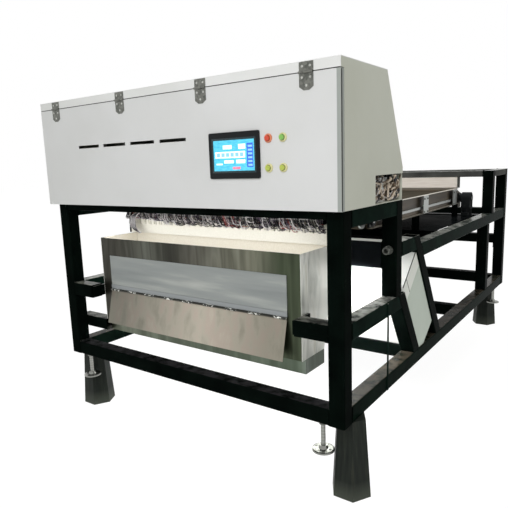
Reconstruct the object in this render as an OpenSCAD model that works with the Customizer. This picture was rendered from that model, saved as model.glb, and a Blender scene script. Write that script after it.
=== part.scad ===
// Optical colour sorter for bulk food: a sheet-metal camera cabinet on a black tube frame,
// with a feed belt behind it, a bank of air ejectors under it and a stainless discharge chute in front.
// The frame stands on its own floor. +Z is up, +Y runs from the operator's door to the feed end.
// Places are given from a datum: the middle of the cabinet's lower front edge.

/* [Cabinet] */
// Width of the cabinet
cabinet_w = 2000; // [1800:10:2200]
// Height of the cabinet's front
cabinet_h = 600; // [560:5:700]
// Depth of the cabinet under its lid
cabinet_top_d = 460; // [430:5:520]
// Depth of the cabinet at its foot
cabinet_foot_d = 665; // [640:5:720]
// Height of the upright strip below the sloping rear
cabinet_rear_h = 160; // [140:5:200]
// Thickness of the cabinet sheet
sheet = 3; // [2:0.5:4]
// Height of the lid's front flange
lid_flange_h = 42; // [36:1:60]
// Gap between the door and what surrounds it
door_gap = 3; // [1:0.5:5]
// Depth of the door's folded edges
door_return = 26; // [18:1:34]
// Height of the service cut-out in each side panel
service_cut_h = 132; // [100:2:135]
// Distance of the service cut-out from the door face
service_cut_y = 333; // [300:5:400]

/* [Door fittings] */
// Spacing of the lid hinges
hinge_pitch = 565; // [500:5:600]
// Width of a hinge leaf
hinge_w = 66; // [56:2:80]
// Length of the door leaf of a hinge
hinge_drop = 70; // [55:1:90]
// Thickness of a hinge leaf
hinge_leaf_t = 2; // [1.5:0.5:3]
// Radius of a hinge knuckle
knuckle_r = 5; // [4.5:0.5:6]
// Radius of a hinge pin
hinge_pin_r = 3; // [2:0.5:3.5]
// Number of ventilation slots in the door
vent_count = 4; // [2:1:4]
// Spacing of the ventilation slots
vent_pitch = 219; // [200:1:235]
// Length of a ventilation slot
vent_w = 180; // [120:5:190]
// Height of a ventilation slot
vent_h = 16; // [8:1:24]
// Middle of the ventilation row, from the middle of the door
vent_x = -244; // [-300:1:-150]
// Height of the ventilation row above the cabinet's foot
vent_z = 330; // [250:5:400]
// Width of the touch screen's frame
hmi_w = 286; // [250:2:320]
// Height of the touch screen's frame
hmi_h = 207; // [180:1:230]
// Middle of the touch screen from the cabinet's right side
hmi_inset = 532; // [500:2:580]
// Height of the touch screen's middle above the cabinet's foot
hmi_z = 243; // [200:1:300]
// Width of the glass in the touch screen
screen_w = 232; // [200:2:240]
// Height of the glass in the touch screen
screen_h = 137; // [110:1:150]
// How far the touch screen's frame stands in front of the door
hmi_proud = 8; // [5:0.5:12]
// Depth of the touch screen's housing behind the door
hmi_depth = 45; // [30:1:70]
// Middle of the button block from the cabinet's right side
button_inset = 307; // [240:1:320]
// Spacing of the button columns
button_pitch_x = 74; // [60:1:90]
// Spacing of the button rows
button_pitch_z = 126; // [80:1:140]
// Radius of a button's collar
collar_r = 19; // [17:0.5:24]
// Radius of a button cap
cap_r = 12; // [10:0.5:14]
// How far a button cap stands in front of the door
cap_proud = 16; // [15:0.5:22]
// How far a button travels
button_travel = 4; // [2:0.5:5]

/* [Frame] */
// Outside width of the frame's square tube
tube = 80; // [70:2:90]
// Wall of the square tube
tube_wall = 4; // [3:0.5:5]
// Outside corner radius of the square tube
tube_corner = 7; // [6:0.5:9]
// Height of the frame from its bottom rails to the cabinet
frame_h = 969; // [940:5:1050]
// Length of the frame
frame_l = 3264; // [3160:10:3500]
// How far the frame is set back from the door face
front_setback = 49; // [40:1:70]
// How far the cabinet overhangs the frame at each side
side_overhang = 18; // [10:1:40]
// Middle posts from the front face of the frame
middle_post_run = 591; // [570:1:630]
// Drop of the middle rails below the cabinet
mid_rail_drop = 500; // [470:5:540]
// Drop of the short rails behind the middle posts
short_rail_drop = 220; // [200:5:240]
// Drop of the conveyor rails below the cabinet
conveyor_rail_drop = 270; // [255:5:300]
// Lean of the diagonal braces from the vertical
brace_lean = 32.6; // [30:0.2:34]
// How far the front brace starts behind the middle post's front face
front_brace_run = 37; // [20:1:60]
// How far the rear brace starts behind the middle post's front face
rear_brace_run = 256; // [246:1:266]
// Height of the feed gantry above the cabinet's foot
gantry_h = 80; // [60:2:160]
// Height of the gantry's top bars
gantry_bar_h = 50; // [40:2:70]
// Length of the feed gantry
gantry_l = 567; // [500:5:620]
// How far the lower rear posts stand in front of the gantry posts
lower_post_run = 136; // [110:2:160]
// Length of the arms that carry the discharge chute
chute_arm_l = 172; // [150:2:200]
// How far the first lower cross rail starts before the lower optical box
cross_rail_lead = 16; // [0:1:60]
// Spacing of the two lower cross rails
cross_rail_pitch = 1000; // [800:10:1100]
// Lift of the rear tie above the bottom rails
rear_tie_lift = 61; // [40:1:120]
// Drop of the rear cross rail below the middle rails
rear_rail_drop = 10; // [0:1:60]
// Width of the flat stay on the right side of the frame
stay_w = 10; // [8:1:20]
// Thickness of the flat stay
stay_t = 6; // [4:0.5:10]
// Distance of the flat stay in front of the middle post
stay_lead = 105; // [60:1:140]

/* [Feet] */
// Height of the hexagonal pedestals
pedestal_h = 381; // [360:5:450]
// Corner radius of a pedestal at the floor
pedestal_r = 100; // [90:1:110]
// Corner radius of a pedestal under the frame
pedestal_top_r = 74; // [60:1:85]
// Wall of a pedestal
pedestal_wall = 8; // [5:1:12]
// Middle of the front pedestals behind the front of the frame
pedestal_setback = 146; // [136:1:160]
// How far the rear pedestals stand in from the outside of the frame
pedestal_inset = 132; // [120:1:150]
// Radius of a levelling stud
stud_r = 11; // [9:0.5:14]
// Drop of a levelling pad's sole below the frame
pad_drop = 149; // [120:1:180]
// Radius of a levelling pad
pad_r = 52; // [44:1:56]
// Radius of the lag holes in a levelling pad
lag_hole_r = 6; // [4:0.5:8]
// Spacing of the lag holes in a levelling pad
lag_pitch = 74; // [66:1:78]

/* [Discharge chute] */
// Gap between the chute and the frame's posts
chute_side_gap = 184; // [176:2:240]
// Front wall of the chute from the door face
chute_front_y = 140; // [132:1:150]
// Depth of the chute's mouth
chute_d = 296; // [270:2:320]
// Drop of the chute's mouth below the cabinet
chute_drop = 214; // [206:1:240]
// Height of the chute's walls
chute_h = 519; // [500:1:540]
// Drop of the bend in the chute's rear wall below the cabinet
chute_bend_drop = 420; // [380:5:480]
// Thickness of the chute's sheet
chute_sheet = 3; // [2:0.5:4]
// Depth of the discharge spout
spout_d = 181; // [150:1:200]
// Height of the discharge spout
spout_h = 75; // [50:1:90]
// How far the spout is set back from the chute's front wall
spout_setback = 32; // [20:1:50]
// Distance of the cover panel's and flap's ends from the chute's sides
flap_margin = 78; // [60:1:120]
// Drop of the cover panel's top below the cabinet
panel_drop = 320; // [300:2:360]
// Height of the cover panel
panel_h = 204; // [180:2:230]
// Length of the flap below its hinge
flap_l = 206; // [180:1:206]
// Lean of the flap away from the chute
flap_lean = 13.6; // [10:0.2:18]
// Number of knuckles in the flap's hinge
flap_knuckles = 17; // [9:2:25]
// Radius of a knuckle of the flap's hinge
flap_knuckle_r = 6; // [5:0.5:7]
// Radius of the rod in the flap's hinge
flap_rod_r = 3; // [2:0.5:4]

/* [Ejectors and air] */
// Middle of the ejector bank from the door face
ejector_y = 400; // [380:2:410]
// How far the ejector bank reaches past the belt at each side
ejector_over = 0; // [0:1:70]
// Drop of the nozzle bar's sole below the cabinet
nozzle_drop = 206; // [200:1:206]
// Height of the nozzle bar
nozzle_h = 56; // [40:1:60]
// Depth of the nozzle bar
nozzle_d = 50; // [46:1:60]
// Number of valves in the bank
valve_count = 30; // [12:1:36]
// Width of a valve body
valve_w = 36; // [24:1:38]
// Height of a valve body
valve_h = 52; // [40:1:60]
// Radius of a nozzle hole
nozzle_r = 3; // [1.5:0.5:4]
// Radius of a valve lead's loop
lead_loop_r = 15; // [10:0.5:18]
// Radius of a valve lead
lead_r = 2.5; // [1.5:0.5:4]
// Height of the air tank
air_tank_h = 140; // [100:5:160]
// Drop of the air tank's top below the cabinet
air_tank_drop = 215; // [205:1:240]
// Inside radius of the air inlet
inlet_r = 13; // [10:0.5:16]
// Outside radius of the air inlet
inlet_out_r = 19.5; // [18:0.5:24]
// Length of the air inlet
inlet_l = 40; // [25:1:60]

/* [Conveyor] */
// Room between the belt and the frame's posts at each side
belt_room = 202; // [190:1:250]
// Thickness of the belt
belt_t = 4; // [3:0.5:6]
// Drop of the belt's top below the cabinet
belt_drop = 75; // [70:1:90]
// Radius of the belt drums
drum_r = 50; // [44:1:56]
// Radius of the drum shafts
shaft_r = 15; // [12:0.5:18]
// Head drum from the door face
head_y = 830; // [815:1:850]
// Distance between the drums
drum_span = 1735; // [1700:5:1760]
// Gap between the belt and the conveyor's side channels
belt_side_gap = 52; // [40:1:60]
// Height of the side channels
channel_h = 123; // [115:1:140]
// Width of the side channels' flanges
channel_flange = 28; // [22:1:40]
// Drop of the side channels' top below the cabinet
channel_drop = 51; // [45:1:56]
// Width of the straps that carry the side channels
strap_w = 100; // [60:2:120]
// Spacing of those straps
strap_pitch = 692; // [600:2:720]
// Distance from the last strap to the end of the side channels
strap_lead = 110; // [60:2:150]

/* [Lower optical box] */
// Gap between the lower box and the braces
box_gap = 5; // [3:0.5:10]
// Drop of the end caps' front upper edge
box_front_drop = 560; // [540:2:580]
// Drop of the end caps' rear upper edge
box_rear_drop = 394; // [385:1:410]
// Rise of the hood above the end caps
hood_rise = 80; // [50:1:82]
// Drop of the lower box's rear lower edge
box_heel_drop = 789; // [760:1:810]
// Depth of the end caps of the lower box
end_cap_d = 50; // [30:1:80]
// How far the windows reach past the belt at each side
window_over = 50; // [20:1:80]

/* [Hidden] */
$fn = 48;

// Clearances and small sizes
run_gap = 0.05;
free_gap = 0.4;
side_gap = 0.5;
drum_gap = 0.3;
glass_t = 6;
eps = 1;

// Widths
half_w = cabinet_w / 2;
frame_x = half_w - side_overhang;
inner_x = frame_x - tube;
mid_x = frame_x - tube / 2;
belt_w = 2 * (inner_x - belt_room);
chute_x = inner_x - chute_side_gap;

// Depths from the door face
door_back = door_return + door_gap;
frame_rear = front_setback + frame_l;
post_rear = front_setback + tube;
middle_post_y = front_setback + middle_post_run;
rear_post_y = frame_rear - tube;
gantry_post_y = frame_rear - gantry_l;
lower_post_y = gantry_post_y - lower_post_run;
tail_y = head_y + drum_span;

// Place of the datum in the part's frame: the part is centred front to rear and stands at zero
y_datum = cap_proud - (cap_proud + frame_rear) / 2;
z_datum = pedestal_h + frame_h;

// Braces
brace_tan = tan(brace_lean);
brace_run = tube / cos(brace_lean);
front_brace_y = middle_post_y + front_brace_run;
rear_brace_y = middle_post_y + rear_brace_run;
brace_foot = -frame_h + tube;
function front_brace_at(z) = front_brace_y + (-mid_rail_drop - z) * brace_tan;
function rear_brace_at(z) = rear_brace_y + (-short_rail_drop - z) * brace_tan;

// Sloping rear of the cabinet
cabinet_slope = (cabinet_foot_d - cabinet_top_d) / (cabinet_h - cabinet_rear_h);
lid_z = cabinet_h - sheet;
flange_z = cabinet_h - lid_flange_h;
sheet_run = sheet * sqrt(1 + cabinet_slope * cabinet_slope);
function rear_at(z) = cabinet_foot_d - (z - cabinet_rear_h) * cabinet_slope;

// Lid hinges
hinge_z = flange_z - door_gap / 2;
hinge_y = -(knuckle_r + free_gap);
hinge_mid = hinge_w / 3;
hinge_places = [-1.5, -0.5, 0.5, 1.5];

// Touch screen and buttons
hmi_x = half_w - hmi_inset;
hmi_lap = 9;
button_x = half_w - button_inset;
button_z = hmi_z + 3;
button_spots = [
    for (z = [1, -1], x = [-1, 1]) [button_x + x * button_pitch_x / 2, button_z + z * button_pitch_z / 2],
];
barrel_r = cap_r - 1;
stem_r = cap_r - 4;
barrel_l = 40;
collar_proud = 9;
button_seat = collar_proud - 3;

// Inspection windows, and the cameras and lamps over the upper one
window_setback = 170;
window_y = cabinet_foot_d - window_setback;
window_d = 80;
window_rim = 12;
window_l = belt_w + 2 * window_over;
camera_places = [-1.5, -0.5, 0.5, 1.5];
camera_pitch = window_l / len(camera_places);
camera_beam_w = 60;
camera_beam_drop = 240;
camera_beam_z = lid_z - camera_beam_drop;
camera_w = 100;
camera_d = 76;
camera_h = 150;
lens_r = 30;
lens_l = 34;
hood_r = lens_r + 3;
hood_l = 26;
lamp_y = window_d / 2 + window_rim + 6;
lamp_d = 60;
lamp_h = 60;
lamp_back_h = 34;
lamp_nose_h = 26;

// Fittings behind the right service cut-out
bowl_count = 3;
bowl_pitch = 66;
bowl_r = 27;
bowl_h = 80;
bowl_neck_h = 14;
manifold_inset = 60;
manifold_h = 34;
terminal_d = 52;

// Feet: each levelling pad stands clear of its pedestal
pedestal_front_y = front_setback + pedestal_setback;
pedestal_rear_x = frame_x - pedestal_inset;
pedestal_rear_y = frame_rear - pedestal_r * cos(30);
pad_reach = pedestal_r - (pedestal_r - pedestal_top_r) / 2 + pad_r;
front_foot_y = front_setback + tube / 2;
front_foot_x = mid_x - sqrt(max(0, pow(pad_reach, 2) - pow(pedestal_front_y - front_foot_y, 2)));
rear_foot_y = pedestal_rear_y - sqrt(max(0, pow(pad_reach, 2) - pow(mid_x - pedestal_rear_x, 2)));
nut_h = 18;
nut_r = stud_r + 9;

// Chute
chute_foot = -chute_drop - chute_h;
chute_rear_y = chute_front_y + chute_d;
spout_y = chute_front_y + spout_setback;
panel_y = chute_front_y - chute_sheet;
panel_foot = -panel_drop - panel_h;
flap_y = panel_y - flap_knuckle_r - free_gap;
flap_z = panel_foot - flap_knuckle_r;
flap_w = 2 * (chute_x - flap_margin);
flap_pitch = flap_w / flap_knuckles;
flap_rim = 40;
flap_window_w = flap_w - 2 * flap_rim;
flap_window_top = flap_z - 16;
flap_window_h = flap_l - flap_rim + 4;
arm_lap = 60;
stop_top = 60;
stop_foot = 176;
leaf_h = 24;
leaf_t = 3;
root_t = 2.6;

// A point on the flap's rear face, a distance down from the hinge, less the stop's clearance
flap_back_y = flap_knuckle_r + drum_gap;
function flap_back(s) = [
    flap_y + flap_back_y * cos(flap_lean) - s * sin(flap_lean),
    flap_z - flap_back_y * sin(flap_lean) - s * cos(flap_lean),
];

// Ejectors
ejector_l = belt_w + 2 * ejector_over;
connector_d = 9;
connector_w = 20;
nozzle_top = -nozzle_drop + nozzle_h;
valve_pitch = ejector_l / valve_count;
ejector_front = ejector_y - nozzle_d / 2;
ejector_plate_t = 6;
ejector_beam_h = 60;
ejector_beam_top = -20;

// Conveyor
belt_in_r = drum_r + drum_gap;
belt_out_r = belt_in_r + belt_t;
drum_z = -belt_drop - belt_out_r;
web_t = 4;
web_x = belt_w / 2 + belt_side_gap;
flange_x = web_x + channel_flange;
channel_foot = -channel_drop - channel_h;
channel_y = head_y - drum_r + 10;
channel_short = 75;
channel_end = tail_y - channel_short;
bearing_t = 24;
bearing_w = 76;
bracket_t = 8;
bracket_lap = 54;
bracket_reach = 58;
inlet_flange = 3;
inlet_flange_t = 8;
inlet_wall = 4;
inlet_drop = 40;
bed_t = 10;
bed_gap = 20;
beam_lead = 36;
beam_run = 670;
tail_beam_run = 155;
beam_y = [
    rear_brace_at(-conveyor_rail_drop - tube) + brace_run + beam_lead,
    head_y + beam_run,
    tail_y - tail_beam_run,
];
seat_gap = 0.3;
pan_top = -conveyor_rail_drop + sheet;
ledge_d = 14;
ledge_h = 16;
ledge_drop = 12;
strap_t = 6;
strap_trim = 4;
hanger_t = 12;
hanger_w = 40;
feed_drop = 60;
feed_t = 6;
lip_lap = 39;
lip_gap = 1;
head_shaft = web_x + web_t + bearing_t;
tail_shaft = head_shaft + bracket_t;
gearbox_w = 80;
gearbox_l = 90;
gearbox_drop = 76;
gearbox_x = tail_shaft;
hub_wall = 14;
face_step = 6;
housing_w = gearbox_w - 2 * face_step;
motor_r = 40;
motor_l = 185;
motor_flange_t = 10;
cowl_l = 42;
fin_l = motor_l - motor_flange_t - cowl_l;
fin_h = 7;
fin_t = 3;
fin_count = 24;
lead_box_w = 52;
lead_box_d = 24;
lead_box_h = 58;
lead_box_at = 40;

// Outlines of the lower box with and without its hood, and of the hood, in depth and height
function box_front_at(z) = [front_brace_at(z) + brace_run + box_gap, z];
function box_rear_at(z) = [rear_brace_at(z) - box_gap, z];
box_foot = [box_front_at(brace_foot), box_front_at(brace_foot) + [tube, 0], box_rear_at(-box_heel_drop)];
cap_top = [box_rear_at(-box_rear_drop), box_front_at(-box_front_drop)];
hood_top = [box_rear_at(hood_rise - box_rear_drop), box_front_at(hood_rise - box_front_drop)];
cap_outline = concat(box_foot, cap_top);
box_outline = concat(box_foot, hood_top);
hood_outline = [cap_top[0], hood_top[0], hood_top[1], cap_top[1]];
box_x = frame_x - 7;

// A corner of an outline moved in from its two edges, and a whole outline moved in
function edge_normal(a, b) = [a.y - b.y, b.x - a.x] / norm(b - a);
function inset_corner(a, b, c, d) =
    let (n = edge_normal(a, b), m = edge_normal(b, c))
    b + d * (n + m) / (1 + n * m);
function inset(p, d) =
    let (n = len(p))
    [for (i = [0:n - 1]) inset_corner(p[(i + n - 1) % n], p[i], p[(i + 1) % n], d)];

// Shared building modules

module at_datum() translate([0, y_datum, z_datum]) children();

module both_sides() {
    children();
    mirror([1, 0, 0]) children();
}

// A flat outline in depth and height, drawn out across the width
module across(x0, x1) translate([x0, 0, 0]) rotate([90, 0, 90]) linear_extrude(x1 - x0) children();

module block(x0, x1, y0, y1, z0, z1) translate([x0, y0, z0]) cube([x1 - x0, y1 - y0, z1 - z0]);

module rounded(w, h, r) {
    square([w - 2 * r, h], center = true);
    square([w, h - 2 * r], center = true);
    for (x = [-1, 1], y = [-1, 1]) translate([x * (w / 2 - r), y * (h / 2 - r)]) circle(r);
}

module tube_profile(w, h) {
    difference() {
        rounded(w, h, tube_corner);
        rounded(w - 2 * tube_wall, h - 2 * tube_wall, max(1, tube_corner - tube_wall));
    }
}

module post(x, y, z0, z1)
    translate([x + tube / 2, y + tube / 2, z0]) linear_extrude(z1 - z0) tube_profile(tube, tube);

module bar_x(x0, x1, y, z, h = tube)
    translate([x0, y + tube / 2, z + h / 2]) rotate([90, 0, 90])
        linear_extrude(x1 - x0) tube_profile(tube, h);

module bar_y(x, y0, y1, z, h = tube)
    translate([x + tube / 2, y1, z + h / 2]) rotate([90, 0, 0])
        linear_extrude(y1 - y0) tube_profile(tube, h);

// Frame

module front_posts() color("#101413") at_datum() both_sides()
    post(inner_x, front_setback, -frame_h, 0);

module middle_posts() color("#101413") at_datum() both_sides()
    post(inner_x, middle_post_y, -mid_rail_drop, 0);

// A plate welded into the open top of a post
module post_cap(y, z) translate([mid_x, y + tube / 2, z - tube_wall]) linear_extrude(tube_wall)
    square(tube - 2 * tube_wall, center = true);

module rear_posts() color("#101413") at_datum() both_sides() {
    post(inner_x, lower_post_y, -frame_h + tube, -conveyor_rail_drop - tube);
    for (y = [gantry_post_y, rear_post_y]) post_cap(y, gantry_h);
    post(inner_x, gantry_post_y, -conveyor_rail_drop, gantry_h);
    post(inner_x, rear_post_y, -frame_h, gantry_h);
}

// The solid that a brace takes up, used to mitre the rails that meet it
module brace_room(y, z) across(inner_x - eps, frame_x + eps) polygon([
    [y, z],
    [y + (z - brace_foot) * brace_tan, brace_foot],
    [y + (z - brace_foot) * brace_tan + brace_run, brace_foot],
    [y + brace_run, z],
]);

module brace(y, z) {
    intersection() {
        translate([mid_x, y + brace_run / 2, z]) rotate([brace_lean, 0, 0]) translate([0, 0, -2 * frame_h])
            linear_extrude(2 * frame_h + 2 * tube) tube_profile(tube, tube);
        block(inner_x, frame_x, y, y + 2 * frame_h, brace_foot, z);
    }
}

// Top, middle and short rails, and the flat stay from the right middle rail down to the bottom rail
module side_rails() color("#101413") at_datum() {
    stay_y = middle_post_y - stay_lead;
    block(frame_x, frame_x + stay_t, stay_y - stay_w, stay_y, -frame_h + tube_corner, -mid_rail_drop - tube_corner);
    both_sides() {
        bar_y(inner_x, post_rear, middle_post_y, -tube);
        difference() {
            bar_y(inner_x, post_rear, front_brace_at(-mid_rail_drop - tube), -mid_rail_drop - tube);
            brace_room(front_brace_y, -mid_rail_drop);
        }
        difference() {
            bar_y(inner_x, middle_post_y + tube, rear_brace_at(-short_rail_drop - tube), -short_rail_drop - tube);
            brace_room(rear_brace_y, -short_rail_drop);
        }
    }
}

module conveyor_rails() color("#101413") at_datum() both_sides() {
    difference() {
        bar_y(inner_x, rear_brace_at(-conveyor_rail_drop) + brace_run, rear_post_y, -conveyor_rail_drop - tube);
        brace_room(rear_brace_y, -short_rail_drop);
    }
}

module stud_hole(x, y) translate([x, y, -frame_h - eps]) cylinder(h = tube_wall + 2 * eps, r = stud_r + 2);

module bottom_rails() color("#101413") at_datum() both_sides() {
    difference() {
        bar_y(inner_x, post_rear, rear_post_y, -frame_h);
        stud_hole(mid_x, rear_foot_y);
    }
}

module cross_rails() color("#101413") at_datum() {
    bar_x(-inner_x, inner_x, front_setback, -tube / 2, tube / 2);
    difference() {
        bar_x(-inner_x, inner_x, front_setback, -frame_h);
        both_sides() stud_hole(front_foot_x, front_foot_y);
    }
    for (i = [0, 1])
        bar_x(-inner_x, inner_x, box_outline[0].x - cross_rail_lead + i * cross_rail_pitch, -frame_h);
    bar_x(-inner_x, inner_x, rear_post_y, -frame_h);
    bar_x(-inner_x, inner_x, lower_post_y, -frame_h + tube + rear_tie_lift);
    bar_x(-inner_x, inner_x, rear_post_y, -mid_rail_drop - tube - rear_rail_drop);
    for (y = [lower_post_y, rear_post_y]) bar_x(-inner_x, inner_x, y, -conveyor_rail_drop - tube);
}

module diagonal_braces() color("#101413") at_datum() both_sides() {
    brace(front_brace_y, -mid_rail_drop);
    brace(rear_brace_y, -short_rail_drop);
}

// Beams between the rails, the pan on the rear two, and the legs that carry the side channels
module conveyor_beams() color("#101413") at_datum() {
    for (y = beam_y) bar_x(-inner_x, inner_x, y, -conveyor_rail_drop - tube);
    block(-inner_x, inner_x, beam_y[1], beam_y[2] + tube, -conveyor_rail_drop, pan_top);
    both_sides() for (i = [0, 1, 2])
        block(web_x, flange_x, beam_y[i] + tube_corner, beam_y[i] + tube - tube_corner,
            (i == 0 ? -conveyor_rail_drop : pan_top) + seat_gap, channel_foot);
}

// The gantry's top frame, with the two straps that hold the ends of the feed plate
module gantry_bars() color("#101413") at_datum() {
    for (y = [gantry_post_y, rear_post_y]) bar_x(-inner_x, inner_x, y, gantry_h - gantry_bar_h, gantry_bar_h);
    both_sides() {
        bar_y(inner_x, gantry_post_y + tube, rear_post_y, gantry_h - gantry_bar_h, gantry_bar_h);
        block(belt_w / 2, belt_w / 2 + hanger_t, gantry_post_y, gantry_post_y + hanger_w, -feed_drop,
            gantry_h - gantry_bar_h);
    }
}

// Stub arms welded to the front posts, with the plates that bolt to the chute's side walls
module chute_arms() color("#101413") at_datum() {
    arm_x = inner_x - chute_arm_l;
    both_sides() {
        bar_x(arm_x, inner_x, front_setback, -mid_rail_drop - tube);
        block(chute_x, arm_x, front_setback + tube_corner, chute_front_y + arm_lap,
            -mid_rail_drop - tube + tube_corner, -mid_rail_drop - tube_corner);
    }
    bar_x(-frame_x, -chute_x, post_rear, chute_foot - spout_h + tube_wall, spout_h - tube_wall);
}

module pedestal() {
    difference() {
        cylinder(h = pedestal_h, r1 = pedestal_r, r2 = pedestal_top_r, $fn = 6);
        translate([0, 0, -pedestal_wall])
            cylinder(h = pedestal_h, r1 = pedestal_r - pedestal_wall, r2 = pedestal_top_r - pedestal_wall, $fn = 6);
    }
}

module pedestals() color("#2c302d") translate([0, y_datum, 0]) both_sides() {
    translate([mid_x, pedestal_front_y, 0]) pedestal();
    translate([pedestal_rear_x, pedestal_rear_y, 0]) pedestal();
}

module levelling_nut(x, y) translate([x, y, -frame_h - nut_h]) difference() {
    cylinder(h = nut_h, r = nut_r, $fn = 6);
    translate([0, 0, -eps]) cylinder(h = nut_h + 2 * eps, r = stud_r + run_gap);
}

module levelling_nuts() color("silver") at_datum() both_sides() {
    levelling_nut(front_foot_x, front_foot_y);
    levelling_nut(mid_x, rear_foot_y);
}

// A screw foot: a dished pad with two lag holes, turned in one with its stud
module levelling_foot(x, y) translate([x, y, -frame_h - pad_drop]) difference() {
    union() {
        rotate_extrude($fn = 64) polygon([
            [0, 0], [pad_r, 0], [pad_r, 8], [pad_r - 6, 10], [stud_r + 12, 12], [stud_r + 6, 26], [0, 26],
        ]);
        cylinder(h = pad_drop + tube - tube_wall - 14, r = stud_r);
    }
    for (side = [-1, 1]) translate([side * lag_pitch / 2, 0, -eps]) cylinder(h = 30, r = lag_hole_r);
}

module front_left_foot() color("silver") at_datum() levelling_foot(-front_foot_x, front_foot_y);
module front_right_foot() color("silver") at_datum() levelling_foot(front_foot_x, front_foot_y);
module rear_left_foot() color("silver") at_datum() levelling_foot(-mid_x, rear_foot_y);
module rear_right_foot() color("silver") at_datum() levelling_foot(mid_x, rear_foot_y);

// Cabinet

// Starts behind the door's side fold, and reaches forward to the lid's flange above it
module side_panel() across(half_w - sheet, half_w) polygon([
    [door_back, 0],
    [service_cut_y, 0],
    [service_cut_y, service_cut_h],
    [cabinet_foot_d, service_cut_h],
    [cabinet_foot_d, cabinet_rear_h],
    [rear_at(lid_z), lid_z],
    [sheet, lid_z],
    [sheet, flange_z],
    [door_back, flange_z],
]);

module left_side_panel() color("#d9dad6") at_datum() mirror([1, 0, 0]) side_panel();
module right_side_panel() color("#d9dad6") at_datum() side_panel();

module cabinet_lid() color("#d9dad6") at_datum() {
    block(-half_w, half_w, 0, rear_at(lid_z), lid_z, cabinet_h);
    block(-half_w, half_w, 0, sheet, flange_z, lid_z);
}

module rear_panel() color("#d9dad6") at_datum() across(-half_w + sheet, half_w - sheet) polygon([
    [cabinet_foot_d - sheet, 0],
    [cabinet_foot_d, 0],
    [cabinet_foot_d, cabinet_rear_h],
    [rear_at(lid_z), lid_z],
    [rear_at(lid_z) - sheet_run, lid_z],
    [cabinet_foot_d - sheet, cabinet_rear_h],
]);

module floor_panel() color("#c4c6c2") at_datum() difference() {
    block(-half_w + sheet, half_w - sheet, door_back, cabinet_foot_d - sheet, 0, sheet);
    block(-window_l / 2, window_l / 2, window_y - window_d / 2, window_y + window_d / 2, -eps, sheet + eps);
}

// The pane in the cabinet floor and the pane on the upper face of the lower box
module inspection_windows() color("#bfe0e6") at_datum() {
    pane_l = window_l / 2 + window_rim;
    pane_d = window_d / 2 + window_rim;
    block(-pane_l, pane_l, window_y - pane_d, window_y + pane_d, sheet, sheet + glass_t);
    box_pane(pane_l, 0.2, 0, glass_t);
}

// A strip along the upper face of the lower box, from one share of it to the other
module box_pane(l, share, low, high) {
    a = hood_top[1];
    b = hood_top[0];
    out = edge_normal(a, b);
    p = a + share * (b - a);
    q = b - share * (b - a);
    across(-l, l) polygon([p + low * out, q + low * out, q + high * out, p + high * out]);
}

// Leaves screwed to the lid's flange, with their knuckles and pins
module lid_hinge_leaves() color("#6e706c") at_datum() for (i = hinge_places) translate([i * hinge_pitch, 0, 0]) {
    difference() {
        union() {
            block(-hinge_w / 2, hinge_w / 2, -hinge_leaf_t, 0, hinge_z + 1, cabinet_h - 3);
            knuckles(hinge_mid / 2 + side_gap, hinge_w / 2);
            mirror([1, 0, 0]) knuckles(hinge_mid / 2 + side_gap, hinge_w / 2);
        }
        block(-hinge_mid / 2 - side_gap, hinge_mid / 2 + side_gap, -hinge_leaf_t - eps, eps,
            0, hinge_z + knuckle_r + 1);
    }
    translate([-hinge_w / 2, hinge_y, hinge_z]) rotate([0, 90, 0]) cylinder(h = hinge_w, r = hinge_pin_r);
}

module knuckles(x0, x1) difference() {
    translate([x0, hinge_y, hinge_z]) rotate([0, 90, 0]) cylinder(h = x1 - x0, r = knuckle_r);
    translate([x0 - eps, hinge_y, hinge_z]) rotate([0, 90, 0])
        cylinder(h = x1 - x0 + 2 * eps, r = hinge_pin_r);
}

// Inside the cabinet

module camera_beam() color("#8a8d8c") at_datum() difference() {
    block(-half_w + sheet, half_w - sheet, window_y - camera_beam_w / 2, window_y + camera_beam_w / 2,
        camera_beam_z, camera_beam_z + camera_beam_w);
    block(-half_w, half_w, window_y - camera_beam_w / 2 + tube_wall, window_y + camera_beam_w / 2 - tube_wall,
        camera_beam_z + tube_wall, camera_beam_z + camera_beam_w - tube_wall);
}

// Line cameras hung under the beam, each with its lens looking down through the floor window
module line_cameras() color("#2a2d30") at_datum() for (i = camera_places)
    translate([i * camera_pitch, window_y, camera_beam_z]) {
        block(-camera_w / 2, camera_w / 2, -camera_d / 2, camera_d / 2, -camera_h, 0);
        translate([0, 0, -camera_h - lens_l]) cylinder(h = lens_l, r = lens_r);
        translate([0, 0, -camera_h - lens_l - hood_l]) difference() {
            cylinder(h = hood_l, r = hood_r);
            translate([0, 0, -eps]) cylinder(h = hood_l / 2, r = lens_r - 4);
        }
    }

module lamp_housings() color("#e6e7e3") at_datum() for (side = [-1, 1])
    translate([0, window_y, sheet]) mirror([0, side < 0 ? 1 : 0, 0])
        across(-window_l / 2, window_l / 2) polygon([
            [lamp_y, 0],
            [lamp_y + lamp_d, 0],
            [lamp_y + lamp_d, lamp_back_h],
            [lamp_y + lamp_h - lamp_nose_h, lamp_h],
            [lamp_y, lamp_nose_h],
        ]);

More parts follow.
